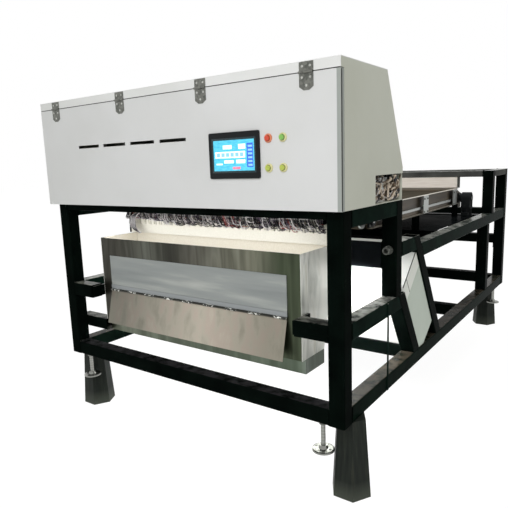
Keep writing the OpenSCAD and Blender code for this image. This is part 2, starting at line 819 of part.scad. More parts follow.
// Filter bowls, manifold and terminal block seen through the service cut-out
module service_fittings() color("#b9bcb8") at_datum() {
    x = half_w - manifold_inset;
    head = sheet + bowl_h;
    for (i = [0:bowl_count - 1]) translate([x, service_cut_y + (i + 0.7) * bowl_pitch, sheet]) {
        cylinder(h = bowl_h - bowl_neck_h, r = bowl_r);
        translate([0, 0, bowl_h - bowl_neck_h]) cylinder(h = bowl_neck_h, r = bowl_r - 5);
    }
    block(x - bowl_r, x + bowl_r, service_cut_y + bowl_pitch * 0.2, service_cut_y + bowl_pitch * (bowl_count + 0.2),
        head, head + manifold_h);
    block(x - bowl_r, x + bowl_r, cabinet_foot_d - sheet - terminal_d, cabinet_foot_d - sheet,
        sheet, service_cut_h - door_gap);
}

// Door

// Holes in the door, drawn as seen from the front and cut through the sheet
module door_holes() translate([0, sheet + eps, 0]) rotate([90, 0, 0]) linear_extrude(sheet + 2 * eps) {
    for (i = [0:vent_count - 1])
        translate([vent_x + (i - (vent_count - 1) / 2) * vent_pitch, vent_z]) square([vent_w, vent_h], center = true);
    translate([hmi_x, hmi_z]) square([hmi_w - 2 * hmi_lap, hmi_h - 2 * hmi_lap], center = true);
    for (p = button_spots) translate(p) circle(barrel_r + free_gap);
}

// A folded tray as wide as the cabinet, with its edges turned back round the corners
module front_door() color("#d9dad6") at_datum() {
    top = flange_z - door_gap;
    difference() {
        block(-half_w, half_w, 0, sheet, 0, top);
        door_holes();
    }
    both_sides() block(half_w - sheet, half_w, sheet, door_return, 0, top);
    for (z = [0, top - sheet]) block(-half_w, half_w, sheet, door_return, z, z + sheet);
}

// Leaves screwed to the door, each with the middle knuckle and a clipped tip
module door_hinge_leaves() color("#6e706c") at_datum() for (i = hinge_places) translate([i * hinge_pitch, 0, 0]) {
    tip = hinge_z - hinge_drop;
    rotate([90, 0, 0]) linear_extrude(hinge_leaf_t) polygon([
        [-hinge_w / 2, hinge_z - knuckle_r - 1],
        [-hinge_w / 2, tip + 14],
        [-hinge_w / 2 + 20, tip],
        [hinge_w / 2 - 20, tip],
        [hinge_w / 2, tip + 14],
        [hinge_w / 2, hinge_z - knuckle_r - 1],
    ]);
    difference() {
        union() {
            block(-hinge_mid / 2, hinge_mid / 2, -hinge_leaf_t - 1, -free_gap, hinge_z - knuckle_r - 2, hinge_z);
            translate([-hinge_mid / 2, hinge_y, hinge_z]) rotate([0, 90, 0]) cylinder(h = hinge_mid, r = knuckle_r);
        }
        translate([-hinge_mid / 2 - eps, hinge_y, hinge_z]) rotate([0, 90, 0])
            cylinder(h = hinge_mid + 2 * eps, r = hinge_pin_r + run_gap);
    }
}

module hmi_plate(w, h, y0, y1) translate([hmi_x - w / 2, y0, hmi_z - h / 2]) cube([w, y1 - y0, h]);

module hmi_frame() color("#23282b") at_datum() difference() {
    union() {
        translate([hmi_x, 0, hmi_z]) rotate([90, 0, 0]) linear_extrude(hmi_proud) rounded(hmi_w, hmi_h, 8);
        hmi_plate(hmi_w - 2 * hmi_lap - 2, hmi_h - 2 * hmi_lap - 2, 0, hmi_depth);
    }
    hmi_plate(screen_w, screen_h, -hmi_proud - eps, -hmi_proud + 3);
}

module hmi_screen() color("#2f8fc8") at_datum() hmi_plate(screen_w, screen_h, -hmi_proud + 1, -hmi_proud + 3);

module at_button(i) translate([button_spots[i].x, 0, button_spots[i].y]) rotate([90, 0, 0]) children();

// Collars on the door face, each in one with the barrel behind the sheet
module button_collars() color("#d8d07a") at_datum() for (i = [0:3]) at_button(i) {
    rotate_extrude() polygon([
        [cap_r + free_gap, 0],
        [collar_r, 0],
        [collar_r, collar_proud - 3],
        [collar_r - 3, collar_proud],
        [cap_r + free_gap, collar_proud],
    ]);
    translate([0, 0, -barrel_l]) difference() {
        cylinder(h = barrel_l, r = barrel_r);
        translate([0, 0, -eps]) cylinder(h = barrel_l + 2 * eps, r = stem_r + free_gap);
    }
    difference() {
        cylinder(h = 1, r = cap_r + free_gap);
        translate([0, 0, -eps]) cylinder(h = 1 + 2 * eps, r = stem_r + free_gap);
    }
}

module button_cap(i) at_datum() at_button(i) rotate_extrude() polygon([
    [0, -barrel_l + 6],
    [stem_r, -barrel_l + 6],
    [stem_r, button_seat],
    [cap_r, button_seat],
    [cap_r, cap_proud - 1.5],
    [cap_r - 1.5, cap_proud],
    [0, cap_proud],
]);

module red_button() color("#c8442a") button_cap(0);
module green_button() color("#5daa3a") button_cap(1);
module left_yellow_button() color("#a9b840") button_cap(2);
module right_yellow_button() color("#a9b840") button_cap(3);

// Ejectors and air

module air_tank() color("#101413") at_datum()
    bar_x(-inner_x, inner_x, middle_post_y, -air_tank_drop - air_tank_h, air_tank_h);

module air_inlet() color("#7c807e") at_datum() translate([mid_x, middle_post_y, -air_tank_drop - inlet_drop])
    rotate([90, 0, 0]) difference() {
        union() {
            cylinder(h = inlet_l, r = inlet_out_r);
            cylinder(h = inlet_flange_t, r = inlet_out_r + inlet_flange);
        }
        translate([0, 0, inlet_wall]) cylinder(h = inlet_l, r = inlet_r);
    }

// The beam between the side rails' posts, with the end plates of the ejector bank
module ejector_beam() color("#101413") at_datum() {
    translate([0, ejector_y, ejector_beam_top - ejector_beam_h / 2]) rotate([90, 0, 90])
        translate([0, 0, -inner_x]) linear_extrude(2 * inner_x) tube_profile(ejector_beam_h, ejector_beam_h);
    both_sides() block(ejector_l / 2, ejector_l / 2 + ejector_plate_t, ejector_front - connector_d,
        ejector_front + nozzle_d, -nozzle_drop, ejector_beam_top - ejector_beam_h);
}

// The nozzle bar with its row of jets, on the plate that hangs it from the beam
module ejector_bar() color("#e8e6dd") at_datum() {
    difference() {
        block(-ejector_l / 2, ejector_l / 2, ejector_front, ejector_front + nozzle_d, -nozzle_drop, nozzle_top);
        for (i = [0:2 * valve_count - 1])
            translate([(i - valve_count + 0.5) * valve_pitch / 2, ejector_y - 8, -nozzle_drop - eps])
                cylinder(h = nozzle_h / 2, r = nozzle_r, $fn = 24);
    }
    block(-ejector_l / 2, ejector_l / 2, ejector_front + nozzle_d - ejector_plate_t, ejector_front + nozzle_d,
        nozzle_top, ejector_beam_top - ejector_beam_h);
}

module at_valves() for (i = [0:valve_count - 1])
    translate([(i - (valve_count - 1) / 2) * valve_pitch, ejector_front, nozzle_top]) children();

module valve_bodies() color("#d7d3c8") at_datum() at_valves() {
    block(-valve_w / 2, valve_w / 2, 0, nozzle_d - ejector_plate_t, 0, valve_h);
    block(-connector_w / 2, connector_w / 2, -connector_d, 0, lead_r, valve_h - lead_r);
}

// Two looped leads on each valve
module valve_leads() color("#8c2f2a") at_datum() at_valves() for (side = [-1, 1])
    translate([side * connector_w / 4, -connector_d, valve_h / 2]) rotate([0, 90, 0]) rotate([0, 0, 180])
        rotate_extrude(angle = 180, $fn = 24) translate([lead_loop_r, 0]) circle(lead_r, $fn = 16);

// Discharge chute

module chute_body() color("#a8a9a4") at_datum() {
    both_sides() across(chute_x - chute_sheet, chute_x) polygon([
        [chute_front_y, chute_foot],
        [spout_y + spout_d, chute_foot],
        [chute_rear_y, -chute_bend_drop],
        [chute_rear_y, -chute_drop],
        [chute_front_y, -chute_drop],
    ]);
    across(-chute_x + chute_sheet, chute_x - chute_sheet) polygon([
        [chute_rear_y, -chute_drop],
        [chute_rear_y - chute_sheet, -chute_drop],
        [chute_rear_y - chute_sheet, -chute_bend_drop],
        [spout_y + spout_d - chute_sheet, chute_foot],
        [spout_y + spout_d, chute_foot],
        [chute_rear_y, -chute_bend_drop],
    ]);
}

// The front wall, with the outlet behind the flap, a folded foot and the two stops that the flap leans on
module chute_front_wall() color("#8f918b") at_datum() {
    x = chute_x - chute_sheet;
    difference() {
        block(-x, x, chute_front_y, chute_front_y + chute_sheet, chute_foot, -chute_drop);
        block(-flap_window_w / 2, flap_window_w / 2, chute_front_y - eps, chute_front_y + chute_sheet + eps,
            flap_window_top - flap_window_h, flap_window_top);
    }
    block(-x, x, chute_front_y + chute_sheet, spout_y + chute_sheet, chute_foot, chute_foot + chute_sheet);
    both_sides() across(flap_window_w / 2 + 4, flap_window_w / 2 + 4 + chute_sheet) polygon([
        [chute_front_y, flap_back(stop_top).y + 6],
        flap_back(stop_top),
        flap_back(stop_foot),
        [chute_front_y, flap_back(stop_foot).y - 2],
    ]);
}

module chute_spout() color("#9a9b95") at_datum() difference() {
    block(-chute_x, chute_x, spout_y, spout_y + spout_d, chute_foot - spout_h, chute_foot);
    block(-chute_x + chute_sheet, chute_x - chute_sheet, spout_y + chute_sheet, spout_y + spout_d - chute_sheet,
        chute_foot - spout_h - eps, chute_foot + eps);
}

module chute_panel() color("#9a9fa3") at_datum()
    block(-flap_w / 2, flap_w / 2, panel_y, chute_front_y, panel_foot, -panel_drop);

module flap_knuckle(i, bore) translate([-flap_w / 2 + i * flap_pitch + side_gap / 2, 0, 0]) rotate([0, 90, 0])
    difference() {
        cylinder(h = flap_pitch - side_gap, r = flap_knuckle_r);
        translate([0, 0, -eps]) cylinder(h = flap_pitch + 2 * eps, r = bore);
    }

// The fixed half of the piano hinge: a leaf on the cover panel, every second knuckle, and the rod
module chute_hinge() color("#7f817c") at_datum() {
    block(-flap_w / 2, flap_w / 2, panel_y - leaf_t, panel_y, panel_foot + side_gap, panel_foot + leaf_h);
    translate([0, flap_y, flap_z]) {
        for (i = [0:2:flap_knuckles - 1]) {
            flap_knuckle(i, flap_rod_r);
            translate([-flap_w / 2 + i * flap_pitch + side_gap / 2, flap_knuckle_r - root_t, 0])
                cube([flap_pitch - side_gap, root_t, flap_knuckle_r + side_gap]);
        }
        translate([-flap_w / 2 + side_gap / 2, 0, 0]) rotate([0, 90, 0])
            cylinder(h = flap_w - side_gap, r = flap_rod_r);
    }
}

// The flap with the other knuckles, drawn hanging and then leaned out
module chute_flap() color("#a8a498") at_datum() translate([0, flap_y, flap_z]) rotate([-flap_lean, 0, 0]) {
    root = flap_knuckle_r + 1;
    block(-flap_w / 2, flap_w / 2, flap_knuckle_r - leaf_t, flap_knuckle_r, -flap_l, -root);
    for (i = [1:2:flap_knuckles - 1]) {
        flap_knuckle(i, flap_rod_r + run_gap);
        translate([-flap_w / 2 + i * flap_pitch + side_gap / 2, flap_knuckle_r - root_t, -root])
            cube([flap_pitch - side_gap, root_t, root]);
    }
}

// Conveyor

module channel() {
    difference() {
        union() {
            block(web_x, web_x + web_t, channel_y, channel_end, channel_foot, -channel_drop);
            block(web_x, flange_x, channel_y, channel_end, -channel_drop - web_t, -channel_drop);
            block(web_x, flange_x, channel_y, channel_end, channel_foot, channel_foot + web_t);
        }
        translate([web_x - eps, head_y, drum_z]) rotate([0, 90, 0]) cylinder(h = web_t + 2 * eps, r = shaft_r + 8);
    }
}

// The black plate that carries the tail drum beyond the end of the channel
module tail_bracket() difference() {
    across(web_x + web_t, web_x + web_t + bracket_t) polygon([
        [channel_end - bracket_lap, channel_foot + web_t + 1],
        [channel_end + 8, channel_foot + web_t + 1],
        [channel_end + 8, drum_z - bearing_w],
        [tail_y + bracket_reach, drum_z - bearing_w],
        [tail_y + bracket_reach, drum_z + 34],
        [channel_end + 8, -channel_drop - web_t - 1],
        [channel_end - bracket_lap, -channel_drop - web_t - 1],
    ]);
    translate([web_x, tail_y, drum_z]) rotate([0, 90, 0]) cylinder(h = bracket_t + 3 * web_t, r = shaft_r + 8);
}

module conveyor_sides() color("#4c4e47") at_datum() both_sides() {
    channel();
    tail_bracket();
}

// Bright straps across the side channels, and the ledge bars along their webs
module conveyor_straps() color("#8e908a") at_datum() both_sides() {
    for (i = [0, 1, 2]) translate([0, channel_end - strap_lead - i * strap_pitch, 0])
        block(flange_x, flange_x + strap_t, -strap_w / 2, strap_w / 2,
            channel_foot + strap_trim, -channel_drop);
    block(web_x + web_t, web_x + web_t + ledge_d, head_y + bearing_w, channel_end - bracket_lap - 6,
        drum_z - ledge_drop, drum_z - ledge_drop + ledge_h);
}

module belt_bed() color("#9da09c") at_datum()
    block(-web_x, web_x, head_y + drum_r + bed_gap, channel_end - 10, -belt_drop - belt_t - bed_t, -belt_drop - belt_t);

module belt_loop(r) {
    translate([head_y, drum_z]) circle(r, $fn = 64);
    translate([tail_y, drum_z]) circle(r, $fn = 64);
    translate([head_y, drum_z - r]) square([drum_span, 2 * r]);
}

module conveyor_belt() color("#4a443c") at_datum() across(-belt_w / 2, belt_w / 2) difference() {
    belt_loop(belt_out_r);
    belt_loop(belt_in_r);
}

module bearing(x, y) translate([x, y, drum_z]) rotate([0, 90, 0]) difference() {
    union() {
        translate([-bearing_w / 2, -bearing_w / 2, 0]) cube([bearing_w, bearing_w, 10]);
        cylinder(h = bearing_t, r = shaft_r + 14);
    }
    translate([0, 0, -eps]) cylinder(h = bearing_t + 2 * eps, r = shaft_r + run_gap);
}

module drum_bearings() color("#3a3d3c") at_datum() both_sides() {
    bearing(web_x + web_t, head_y);
    bearing(web_x + web_t + bracket_t, tail_y);
}

// The geared motor that turns the tail drum: worm housing, motor flange, finned body, cowl and lead box
module drive_gearmotor() color("#1d2022") at_datum() translate([gearbox_x, tail_y, drum_z]) {
    difference() {
        union() {
            rotate([0, 90, 0]) cylinder(h = gearbox_w, r = shaft_r + hub_wall);
            translate([face_step, 0, 0]) rotate([0, 90, 0]) cylinder(h = housing_w, r = gearbox_l / 2);
            block(face_step, face_step + housing_w, -gearbox_l / 2, gearbox_l / 2, -gearbox_drop, 0);
        }
        translate([-eps, 0, 0]) rotate([0, 90, 0]) cylinder(h = gearbox_w + 2 * eps, r = shaft_r + run_gap);
    }
    translate([gearbox_w / 2, 0, -gearbox_drop]) mirror([0, 0, 1]) {
        translate([-motor_r, -motor_r, -eps]) cube([2 * motor_r, 2 * motor_r, motor_flange_t + eps]);
        cylinder(h = motor_l, r = motor_r - fin_h);
        for (i = [0 : fin_count - 1]) rotate((i + 0.5) * 360 / fin_count)
            translate([0, -fin_t / 2, motor_flange_t - eps]) cube([motor_r, fin_t, fin_l + 2 * eps]);
        translate([0, 0, motor_l - cowl_l]) cylinder(h = cowl_l, r1 = motor_r, r2 = motor_r - fin_h / 2);
        translate([-lead_box_w / 2, -motor_r - lead_box_d, lead_box_at])
            cube([lead_box_w, motor_r + lead_box_d, lead_box_h]);
    }
}

module drum(y, left, right) at_datum() translate([0, y, drum_z]) rotate([0, 90, 0]) {
    translate([0, 0, -belt_w / 2 - 10]) cylinder(h = belt_w + 20, r = drum_r, $fn = 64);
    translate([0, 0, -left]) cylinder(h = left + right, r = shaft_r);
}

module head_drum() color("#8f938f") drum(head_y, head_shaft, head_shaft);
module tail_drum() color("#8f938f") drum(tail_y, tail_shaft, tail_shaft + gearbox_w);

// The back plate at the feed end, with the lip that leads onto the belt
module feed_plate() color("#e3dcd2") at_datum() {
    y = gantry_post_y + feed_t;
    block(-belt_w / 2, belt_w / 2, y, y + feed_t, -feed_drop, gantry_h - gantry_bar_h);
    across(-belt_w / 2, belt_w / 2) polygon([
        [y + feed_t, -feed_drop],
        [tail_y + lip_lap, -belt_drop + lip_gap + sheet],
        [tail_y + lip_lap, -belt_drop + lip_gap],
        [y + feed_t, -feed_drop - sheet],
    ]);
    block(-belt_w / 2, belt_w / 2, y, y + feed_t, -feed_drop - sheet, -feed_drop + eps);
}

// Lower optical box

// The folded body between the end caps, with the hood that reaches over them
module lower_box() color("#e4e6e2") at_datum() difference() {
    union() {
        across(-box_x + end_cap_d, box_x - end_cap_d) polygon(box_outline);
        across(-box_x, box_x) polygon(hood_outline);
    }
    across(-box_x + sheet, box_x - sheet) polygon(inset(box_outline, sheet));
    box_pane(window_l / 2, 0.26, -3 * sheet, sheet);
}

module lower_box_end_caps() color("#d5d8d3") at_datum() both_sides() difference() {
    across(box_x - end_cap_d, box_x) polygon(cap_outline);
    across(box_x - end_cap_d - eps, box_x - sheet) polygon(inset(cap_outline, sheet));
}

front_posts();
middle_posts();
rear_posts();
side_rails();
conveyor_rails();
bottom_rails();
cross_rails();
diagonal_braces();
conveyor_beams();
gantry_bars();
chute_arms();
pedestals();
levelling_nuts();
front_left_foot();
front_right_foot();
rear_left_foot();
rear_right_foot();
left_side_panel();
right_side_panel();
cabinet_lid();
rear_panel();
floor_panel();
inspection_windows();
lid_hinge_leaves();
camera_beam();
line_cameras();
lamp_housings();
service_fittings();
front_door();
door_hinge_leaves();
hmi_frame();
hmi_screen();
button_collars();
red_button();
green_button();
left_yellow_button();
right_yellow_button();
air_tank();
air_inlet();
ejector_beam();
ejector_bar();
valve_bodies();
valve_leads();
chute_body();
chute_front_wall();
chute_spout();
chute_panel();
chute_hinge();
chute_flap();
conveyor_sides();
conveyor_straps();
belt_bed();
conveyor_belt();
drum_bearings();
drive_gearmotor();
head_drum();
tail_drum();
feed_plate();
lower_box();
lower_box_end_caps();
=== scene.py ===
"""Looks of a belt-fed optical colour sorter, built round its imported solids."""
import math
import random

import bmesh
import bpy
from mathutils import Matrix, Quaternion, Vector, noise


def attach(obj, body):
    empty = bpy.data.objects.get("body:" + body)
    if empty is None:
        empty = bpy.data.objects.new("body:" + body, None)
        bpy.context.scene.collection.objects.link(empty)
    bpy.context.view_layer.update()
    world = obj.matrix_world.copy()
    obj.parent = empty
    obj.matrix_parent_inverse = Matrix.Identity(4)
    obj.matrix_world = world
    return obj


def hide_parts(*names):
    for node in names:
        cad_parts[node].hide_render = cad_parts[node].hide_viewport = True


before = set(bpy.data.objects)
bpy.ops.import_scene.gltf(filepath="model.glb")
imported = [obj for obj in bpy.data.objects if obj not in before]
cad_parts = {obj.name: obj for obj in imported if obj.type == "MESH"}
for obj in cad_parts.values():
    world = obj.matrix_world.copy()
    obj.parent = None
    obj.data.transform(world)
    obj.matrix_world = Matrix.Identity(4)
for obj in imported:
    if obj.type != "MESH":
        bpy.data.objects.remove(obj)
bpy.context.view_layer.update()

# Places are in millimetres from the middle of the cabinet's lower front edge, as in the part's source
DATUM = Vector((0.0, -1.6485, 1.35))
MM = 0.001
FORWARD = (0, -1, 0)
UP = (0, 0, 1)

# Sizes shared with the part's source, in millimetres
HALF_W = 1000
TUBE = 80
INNER_X, POST_X = 902, 942
HINGE_X = [-847.5, -282.5, 282.5, 847.5]
LEAF_Y = -2
DOOR_TOP = 553
HMI_X, HMI_Z = 468, 243
SCREEN_W, SCREEN_H = 232, 137
SCREEN_Y = -7
BUTTON_PLACES = [(x, 0, z) for z in (309, 183) for x in (656, 730)]
CAP_FACE = -16
CHUTE_X = 718
CHUTE_FRONT, CHUTE_BACK = 140, 436
CHUTE_TOP, CHUTE_BEND, CHUTE_FOOT = -214, -420, -733
CHUTE_T = 3
SPOUT_BACK = 353
PANEL_Y, PANEL_TOP, PANEL_FOOT = 137, -320, -524
FLAP_HALF = 640
ARM_X = 730
EJECTOR_X, EJECTOR_FRONT = 706, 375
CONNECTOR_Y = 366
VALVE_COUNT = 30
VALVE_PITCH = 1400 / VALVE_COUNT
BEAM_FOOT = -80
WEB_X = 752
STRAP_X = 786
STRAP_Y = [2380 - 692 * i for i in range(3)]
DRUM_Z = -129.3
HEAD_Y, TAIL_Y = 830, 2565
BOX_X = 975


def at(x, y, z):
    """A place in millimetres from the datum, as metres in the shared frame."""
    return Vector((x, y, z)) * MM + DATUM


# Shader helpers

def linear(code):
    """An sRGB hex colour as linear RGBA."""
    parts = [int(code[i:i + 2], 16) / 255 for i in (1, 3, 5)]
    return tuple(c / 12.92 if c <= 0.04045 else ((c + 0.055) / 1.055) ** 2.4 for c in parts) + (1.0,)


def per_mm(*sizes):
    """The texture scale at which one feature is this many millimetres across, or one for each axis."""
    scales = tuple(1.0 / (size * MM) for size in sizes)
    return scales if len(scales) > 1 else scales[0]


def add(tree, kind, inputs=None, ramp=None, to=None, out=0, **settings):
    """Adds one shader node with its settings, values, links and colour stops, and gives one output."""
    made = tree.nodes.new("ShaderNode" + kind)
    for key, value in settings.items():
        setattr(made, key, value)
    for key, value in (inputs or {}).items():
        if isinstance(value, bpy.types.NodeSocket):
            tree.links.new(value, made.inputs[key])
        else:
            made.inputs[key].default_value = value
    for i, (stop, code) in enumerate(ramp or []):
        stops = made.color_ramp.elements
        entry = stops[i] if i < len(stops) else stops.new(stop)
        entry.position, entry.color = stop, linear(code)
    if to:
        tree.links.new(made.outputs[out], to)
    return made.outputs[out]


def material(name, **shader):
    """A material with its shader's plain numbers set, its node tree, and the part's own coordinates."""
    made = bpy.data.materials.new(name)
    made.use_nodes = True
    tree = made.node_tree
    bsdf = tree.nodes["Principled BSDF"]
    for key, value in shader.items():
        socket = bsdf.inputs[key.replace("_", " ")]
        socket.default_value = linear(value) if isinstance(value, str) else value
    place = add(tree, "TexCoord", out="Object")
    made.diffuse_color = bsdf.inputs["Base Color"].default_value
    return made, tree, bsdf.inputs, place


def facing(tree, axis, start):
    """How far a surface faces along an axis, from 0 at the start value to 1."""
    normal = add(tree, "NewGeometry", out="Normal")
    share = add(tree, "VectorMath", {0: normal, 1: axis}, operation="DOT_PRODUCT", out="Value")
    return add(tree, "MapRange", {"Value": share, "From Min": start})


def streaks(tree, place, sizes, detail, **more):
    """Noise whose features have these sizes in millimetres along the three axes."""
    drawn = add(tree, "Mapping", {"Vector": place, "Scale": per_mm(*sizes)})
    return add(tree, "TexNoise", {"Vector": drawn, "Scale": 1.0, "Detail": detail, **more})


def fade(tree, place, axis, start, end, colour, other, to):
    """A colour that goes over into another one between two places along an axis, in metres."""
    along = add(tree, "SeparateXYZ", {"Vector": place}, out=axis)
    share = add(tree, "MapRange", {"Value": along, "From Min": start, "From Max": end})
    add(tree, "Mix", {0: share, 6: colour, 7: other}, data_type="RGBA", to=to, out=2)


def toned(tree, place, colour, left, right, stops, to=None):
    """A colour multiplied by tones that change across the width between two places in millimetres."""
    width = add(tree, "SeparateXYZ", {"Vector": place}, out="X")
    share = add(tree, "MapRange", {"Value": width, "From Min": left * MM, "From Max": right * MM})
    tone = add(tree, "ValToRGB", {"Fac": share}, stops)
    return add(tree, "Mix", {0: 1.0, 6: colour, 7: tone}, data_type="RGBA", blend_type="MULTIPLY",
               to=to, out=2)


def surface(tree, bsdf, rough=None, bump=None):
    """Roughness as a pattern with its least and most, relief as a pattern, strength and depth in mm."""
    if rough:
        pattern, least, most = rough
        add(tree, "MapRange", {"Value": pattern, "To Min": least, "To Max": most}, to=bsdf["Roughness"])
    if bump:
        pattern, strength, deep = bump
        add(tree, "Bump", {"Height": pattern, "Strength": strength, "Distance": deep * MM},
            to=bsdf["Normal"])


# Finishes

# The last millimetres of a folded panel's width, where its edge is rolled and painted shade lies
EDGE_W = 30
# How far up the pedestals dust lies, in metres
FOOT_DUST = 0.09
# The red cap's own collar lies within this distance of its middle, in metres
COLLAR_REACH = 0.05
# The wave texture turns 20 radians to a unit, so its crests lie 2 pi times the given size apart
WAVE_RADIANS = 20


def black_enamel(name, low, high, dust, cover, shine=0.2, index=1.2):
    # Air-dried black enamel on welded tube: near black, with a green cast that is a painted reflection
    # of green surroundings, a soft mirror broken by orange peel about 9 mm wide, and lighter patches on
    # whatever faces up, partly real dust and partly a painted highlight on the tops. The dust colour
    # lies where the noise is over the cover value, and faces that look up get the shine as their
    # specular level.
    made, tree, bsdf, place = material(name, Base_Color=low, IOR=index)
    cloud = add(tree, "TexNoise", {"Vector": place, "Scale": per_mm(160), "Detail": 5})
    paint = add(tree, "ValToRGB", {"Fac": cloud}, [(0.3, low), (0.7, high)])
    speck = add(tree, "TexNoise", {"Vector": place, "Scale": per_mm(55), "Detail": 8})
    patch = add(tree, "MapRange", {"Value": speck, "From Min": cover, "From Max": cover + 0.26})
    top = facing(tree, UP, 0.7)
    lying = add(tree, "Math", {0: top, 1: patch}, operation="MULTIPLY")
    add(tree, "Mix", {0: lying, 6: paint, 7: linear(dust)}, data_type="RGBA",
        to=bsdf["Base Color"], out=2)
    add(tree, "MapRange", {"Value": top, "To Min": 0.008, "To Max": shine},
        to=bsdf["Specular IOR Level"])
    peel = add(tree, "TexNoise", {"Vector": place, "Scale": per_mm(9), "Detail": 2})
    surface(tree, bsdf, rough=(cloud, 0.16, 0.34), bump=(peel, 0.12, 0.6))
    return made


def powder_coat(name, pale, dark, edge):
    # Baked powder coat on folded sheet: an even pale grey with a fine pebble about 2.5 mm wide, drawn
    # coarser than the real one so that it shows, faint handling marks, and painted shade along the
    # right edge, where a rolled fold turns away from the light.
    made, tree, bsdf, place = material(name, Base_Color=pale, Specular_IOR_Level=0.4)
    cloud = add(tree, "TexNoise", {"Vector": place, "Scale": per_mm(420), "Detail": 4})
    paint = add(tree, "ValToRGB", {"Fac": cloud}, [(0.3, dark), (0.62, pale)])
    toned(tree, place, paint, HALF_W - EDGE_W, HALF_W, edge, to=bsdf["Base Color"])
    marks = streaks(tree, place, (60, 60, 300), 5)
    pebble = add(tree, "TexNoise", {"Vector": place, "Scale": per_mm(2.5), "Detail": 2})
    surface(tree, bsdf, rough=(marks, 0.3, 0.5), bump=(pebble, 0.08, 0.25))
    return made


def satin_grey_paint():
    # Brushed-on dark grey satin paint over plate: streaks run down the slopes, with dust on the foot.
    made, tree, bsdf, place = material("satin_grey_paint", Base_Color="#242825", Specular_IOR_Level=0.1)
    brush = streaks(tree, place, (14, 14, 260), 5)
    paint = add(tree, "ValToRGB", {"Fac": brush}, [(0.3, "#191D1B"), (0.6, "#262A26"), (0.8, "#3A3B33")])
    fade(tree, place, "Z", FOOT_DUST, 0.0, paint, linear("#4C5049"), to=bsdf["Base Color"])
    surface(tree, bsdf, rough=(brush, 0.4, 0.62), bump=(brush, 0.15, 0.4))
    return made


def rolled_stainless(name, stops, band_mm, across):
    # Cold-rolled stainless sheet: metal with a fine upright grain, and wide upright bands painted into
    # its colour as a painted reflection of its surroundings, where the sheet is not quite flat, with
    # painted tones of reflection that change across its width.
    made, tree, bsdf, place = material(name, Base_Color=stops[0][1], Metallic=0.85)
    wave = streaks(tree, place, (band_mm, band_mm, 1400), 3, Roughness=0.55)
    sheet = add(tree, "ValToRGB", {"Fac": wave}, stops)
    toned(tree, place, sheet, -CHUTE_X, CHUTE_X, across, to=bsdf["Base Color"])
    grain = streaks(tree, place, (1.6, 1.6, 400), 4)
    dents = add(tree, "TexNoise", {"Vector": place, "Scale": per_mm(130), "Detail": 2})
    height = add(tree, "Math", {0: dents, 1: grain}, operation="ADD")
    surface(tree, bsdf, rough=(grain, 0.26, 0.46), bump=(height, 0.25, 0.8))
    return made


def marbled_stainless():
    # Pickled stainless on the chute's flanks: pale, with cloudy grey veins left by the acid, and a
    # painted highlight that turns it near white towards the rear.
    made, tree, bsdf, place = material("pickled_stainless", Base_Color="#C6C7C2", Metallic=0.45,
                                       Specular_IOR_Level=0.4)
    vein = streaks(tree, place, (60, 60, 260), 7, Distortion=0.9)
    skin = add(tree, "ValToRGB", {"Fac": vein},
               [(0.3, "#A3A49B"), (0.45, "#CFD0CA"), (0.56, "#E6E6E1"), (0.72, "#C9C8BC")])
    fade(tree, place, "Y", at(0, 262, 0).y, at(0, 350, 0).y, skin, linear("#FAFAF5"),
         to=bsdf["Base Color"])
    surface(tree, bsdf, rough=(vein, 0.28, 0.5), bump=(vein, 0.2, 0.8))
    return made


def rolled_channel_steel():
    # Hot-rolled steel channel: brown-grey scale with long streaks, much paler on the faces that look up.
    made, tree, bsdf, place = material("rolled_channel_steel", Base_Color="#4A4236", Metallic=0.6,
                                       Specular_IOR_Level=0.3)
    scale = streaks(tree, place, (60, 500, 40), 6)
    skin = add(tree, "ValToRGB", {"Fac": scale}, [(0.3, "#2F281F"), (0.5, "#4E4538"), (0.72, "#73685A")])
    add(tree, "Mix", {0: facing(tree, UP, 0.6), 6: skin, 7: linear("#C9C3B8")}, data_type="RGBA",
        to=bsdf["Base Color"], out=2)
    surface(tree, bsdf, rough=(scale, 0.34, 0.56), bump=(scale, 0.2, 0.5))
    return made


def stained_stainless():
    # Stainless sheet that has been handled: a warm grey with cloudy upright stains and a level grain,
    # a painted highlight across its middle where the sheet bows, and a dark joint along its knuckles.
    made, tree, bsdf, place = material("stained_stainless", Base_Color="#A8A498", Metallic=0.7)
    cloud = streaks(tree, place, (70, 70, 190), 5)
    skin = add(tree, "ValToRGB", {"Fac": cloud},
               [(0.3, "#A9A69B"), (0.48, "#C0BCB1"), (0.6, "#C4B9B0"), (0.75, "#CBC8BC")])
    sheet = toned(tree, place, skin, -FLAP_HALF, FLAP_HALF,
                  [(0.1, "#A8A8A3"), (0.58, "#FAF6F1"), (0.92, "#C8C6C0")])
    fade(tree, place, "Z", at(0, 0, PANEL_FOOT - 10).z, at(0, 0, PANEL_FOOT - 8).z, sheet,
         linear("#34342F"), to=bsdf["Base Color"])
    grain = streaks(tree, place, (300, 2, 2), 3)
    surface(tree, bsdf, rough=(grain, 0.34, 0.5), bump=(cloud, 0.3, 1.2))
    return made


def protective_film():
    # Polythene film still on the cover sheet: a cold blue-grey over metal, with long soft creases
    # and small blisters.
    made, tree, bsdf, place = material("protective_film", Base_Color="#8C9295", Metallic=0.2,
                                       Roughness=0.4, Specular_IOR_Level=0.3, Coat_Weight=0.1,
                                       Coat_Roughness=0.25)
    crease = streaks(tree, place, (700, 60, 60), 4)
    add(tree, "ValToRGB", {"Fac": crease}, [(0.3, "#888D8E"), (0.55, "#999D9D"), (0.75, "#B8BAB7")],
        to=bsdf["Base Color"])
    blister = add(tree, "TexVoronoi", {"Vector": place, "Scale": per_mm(26)})
    height = add(tree, "Math", {0: crease, 1: blister}, operation="ADD")
    surface(tree, bsdf, bump=(height, 0.2, 0.7))
    return made


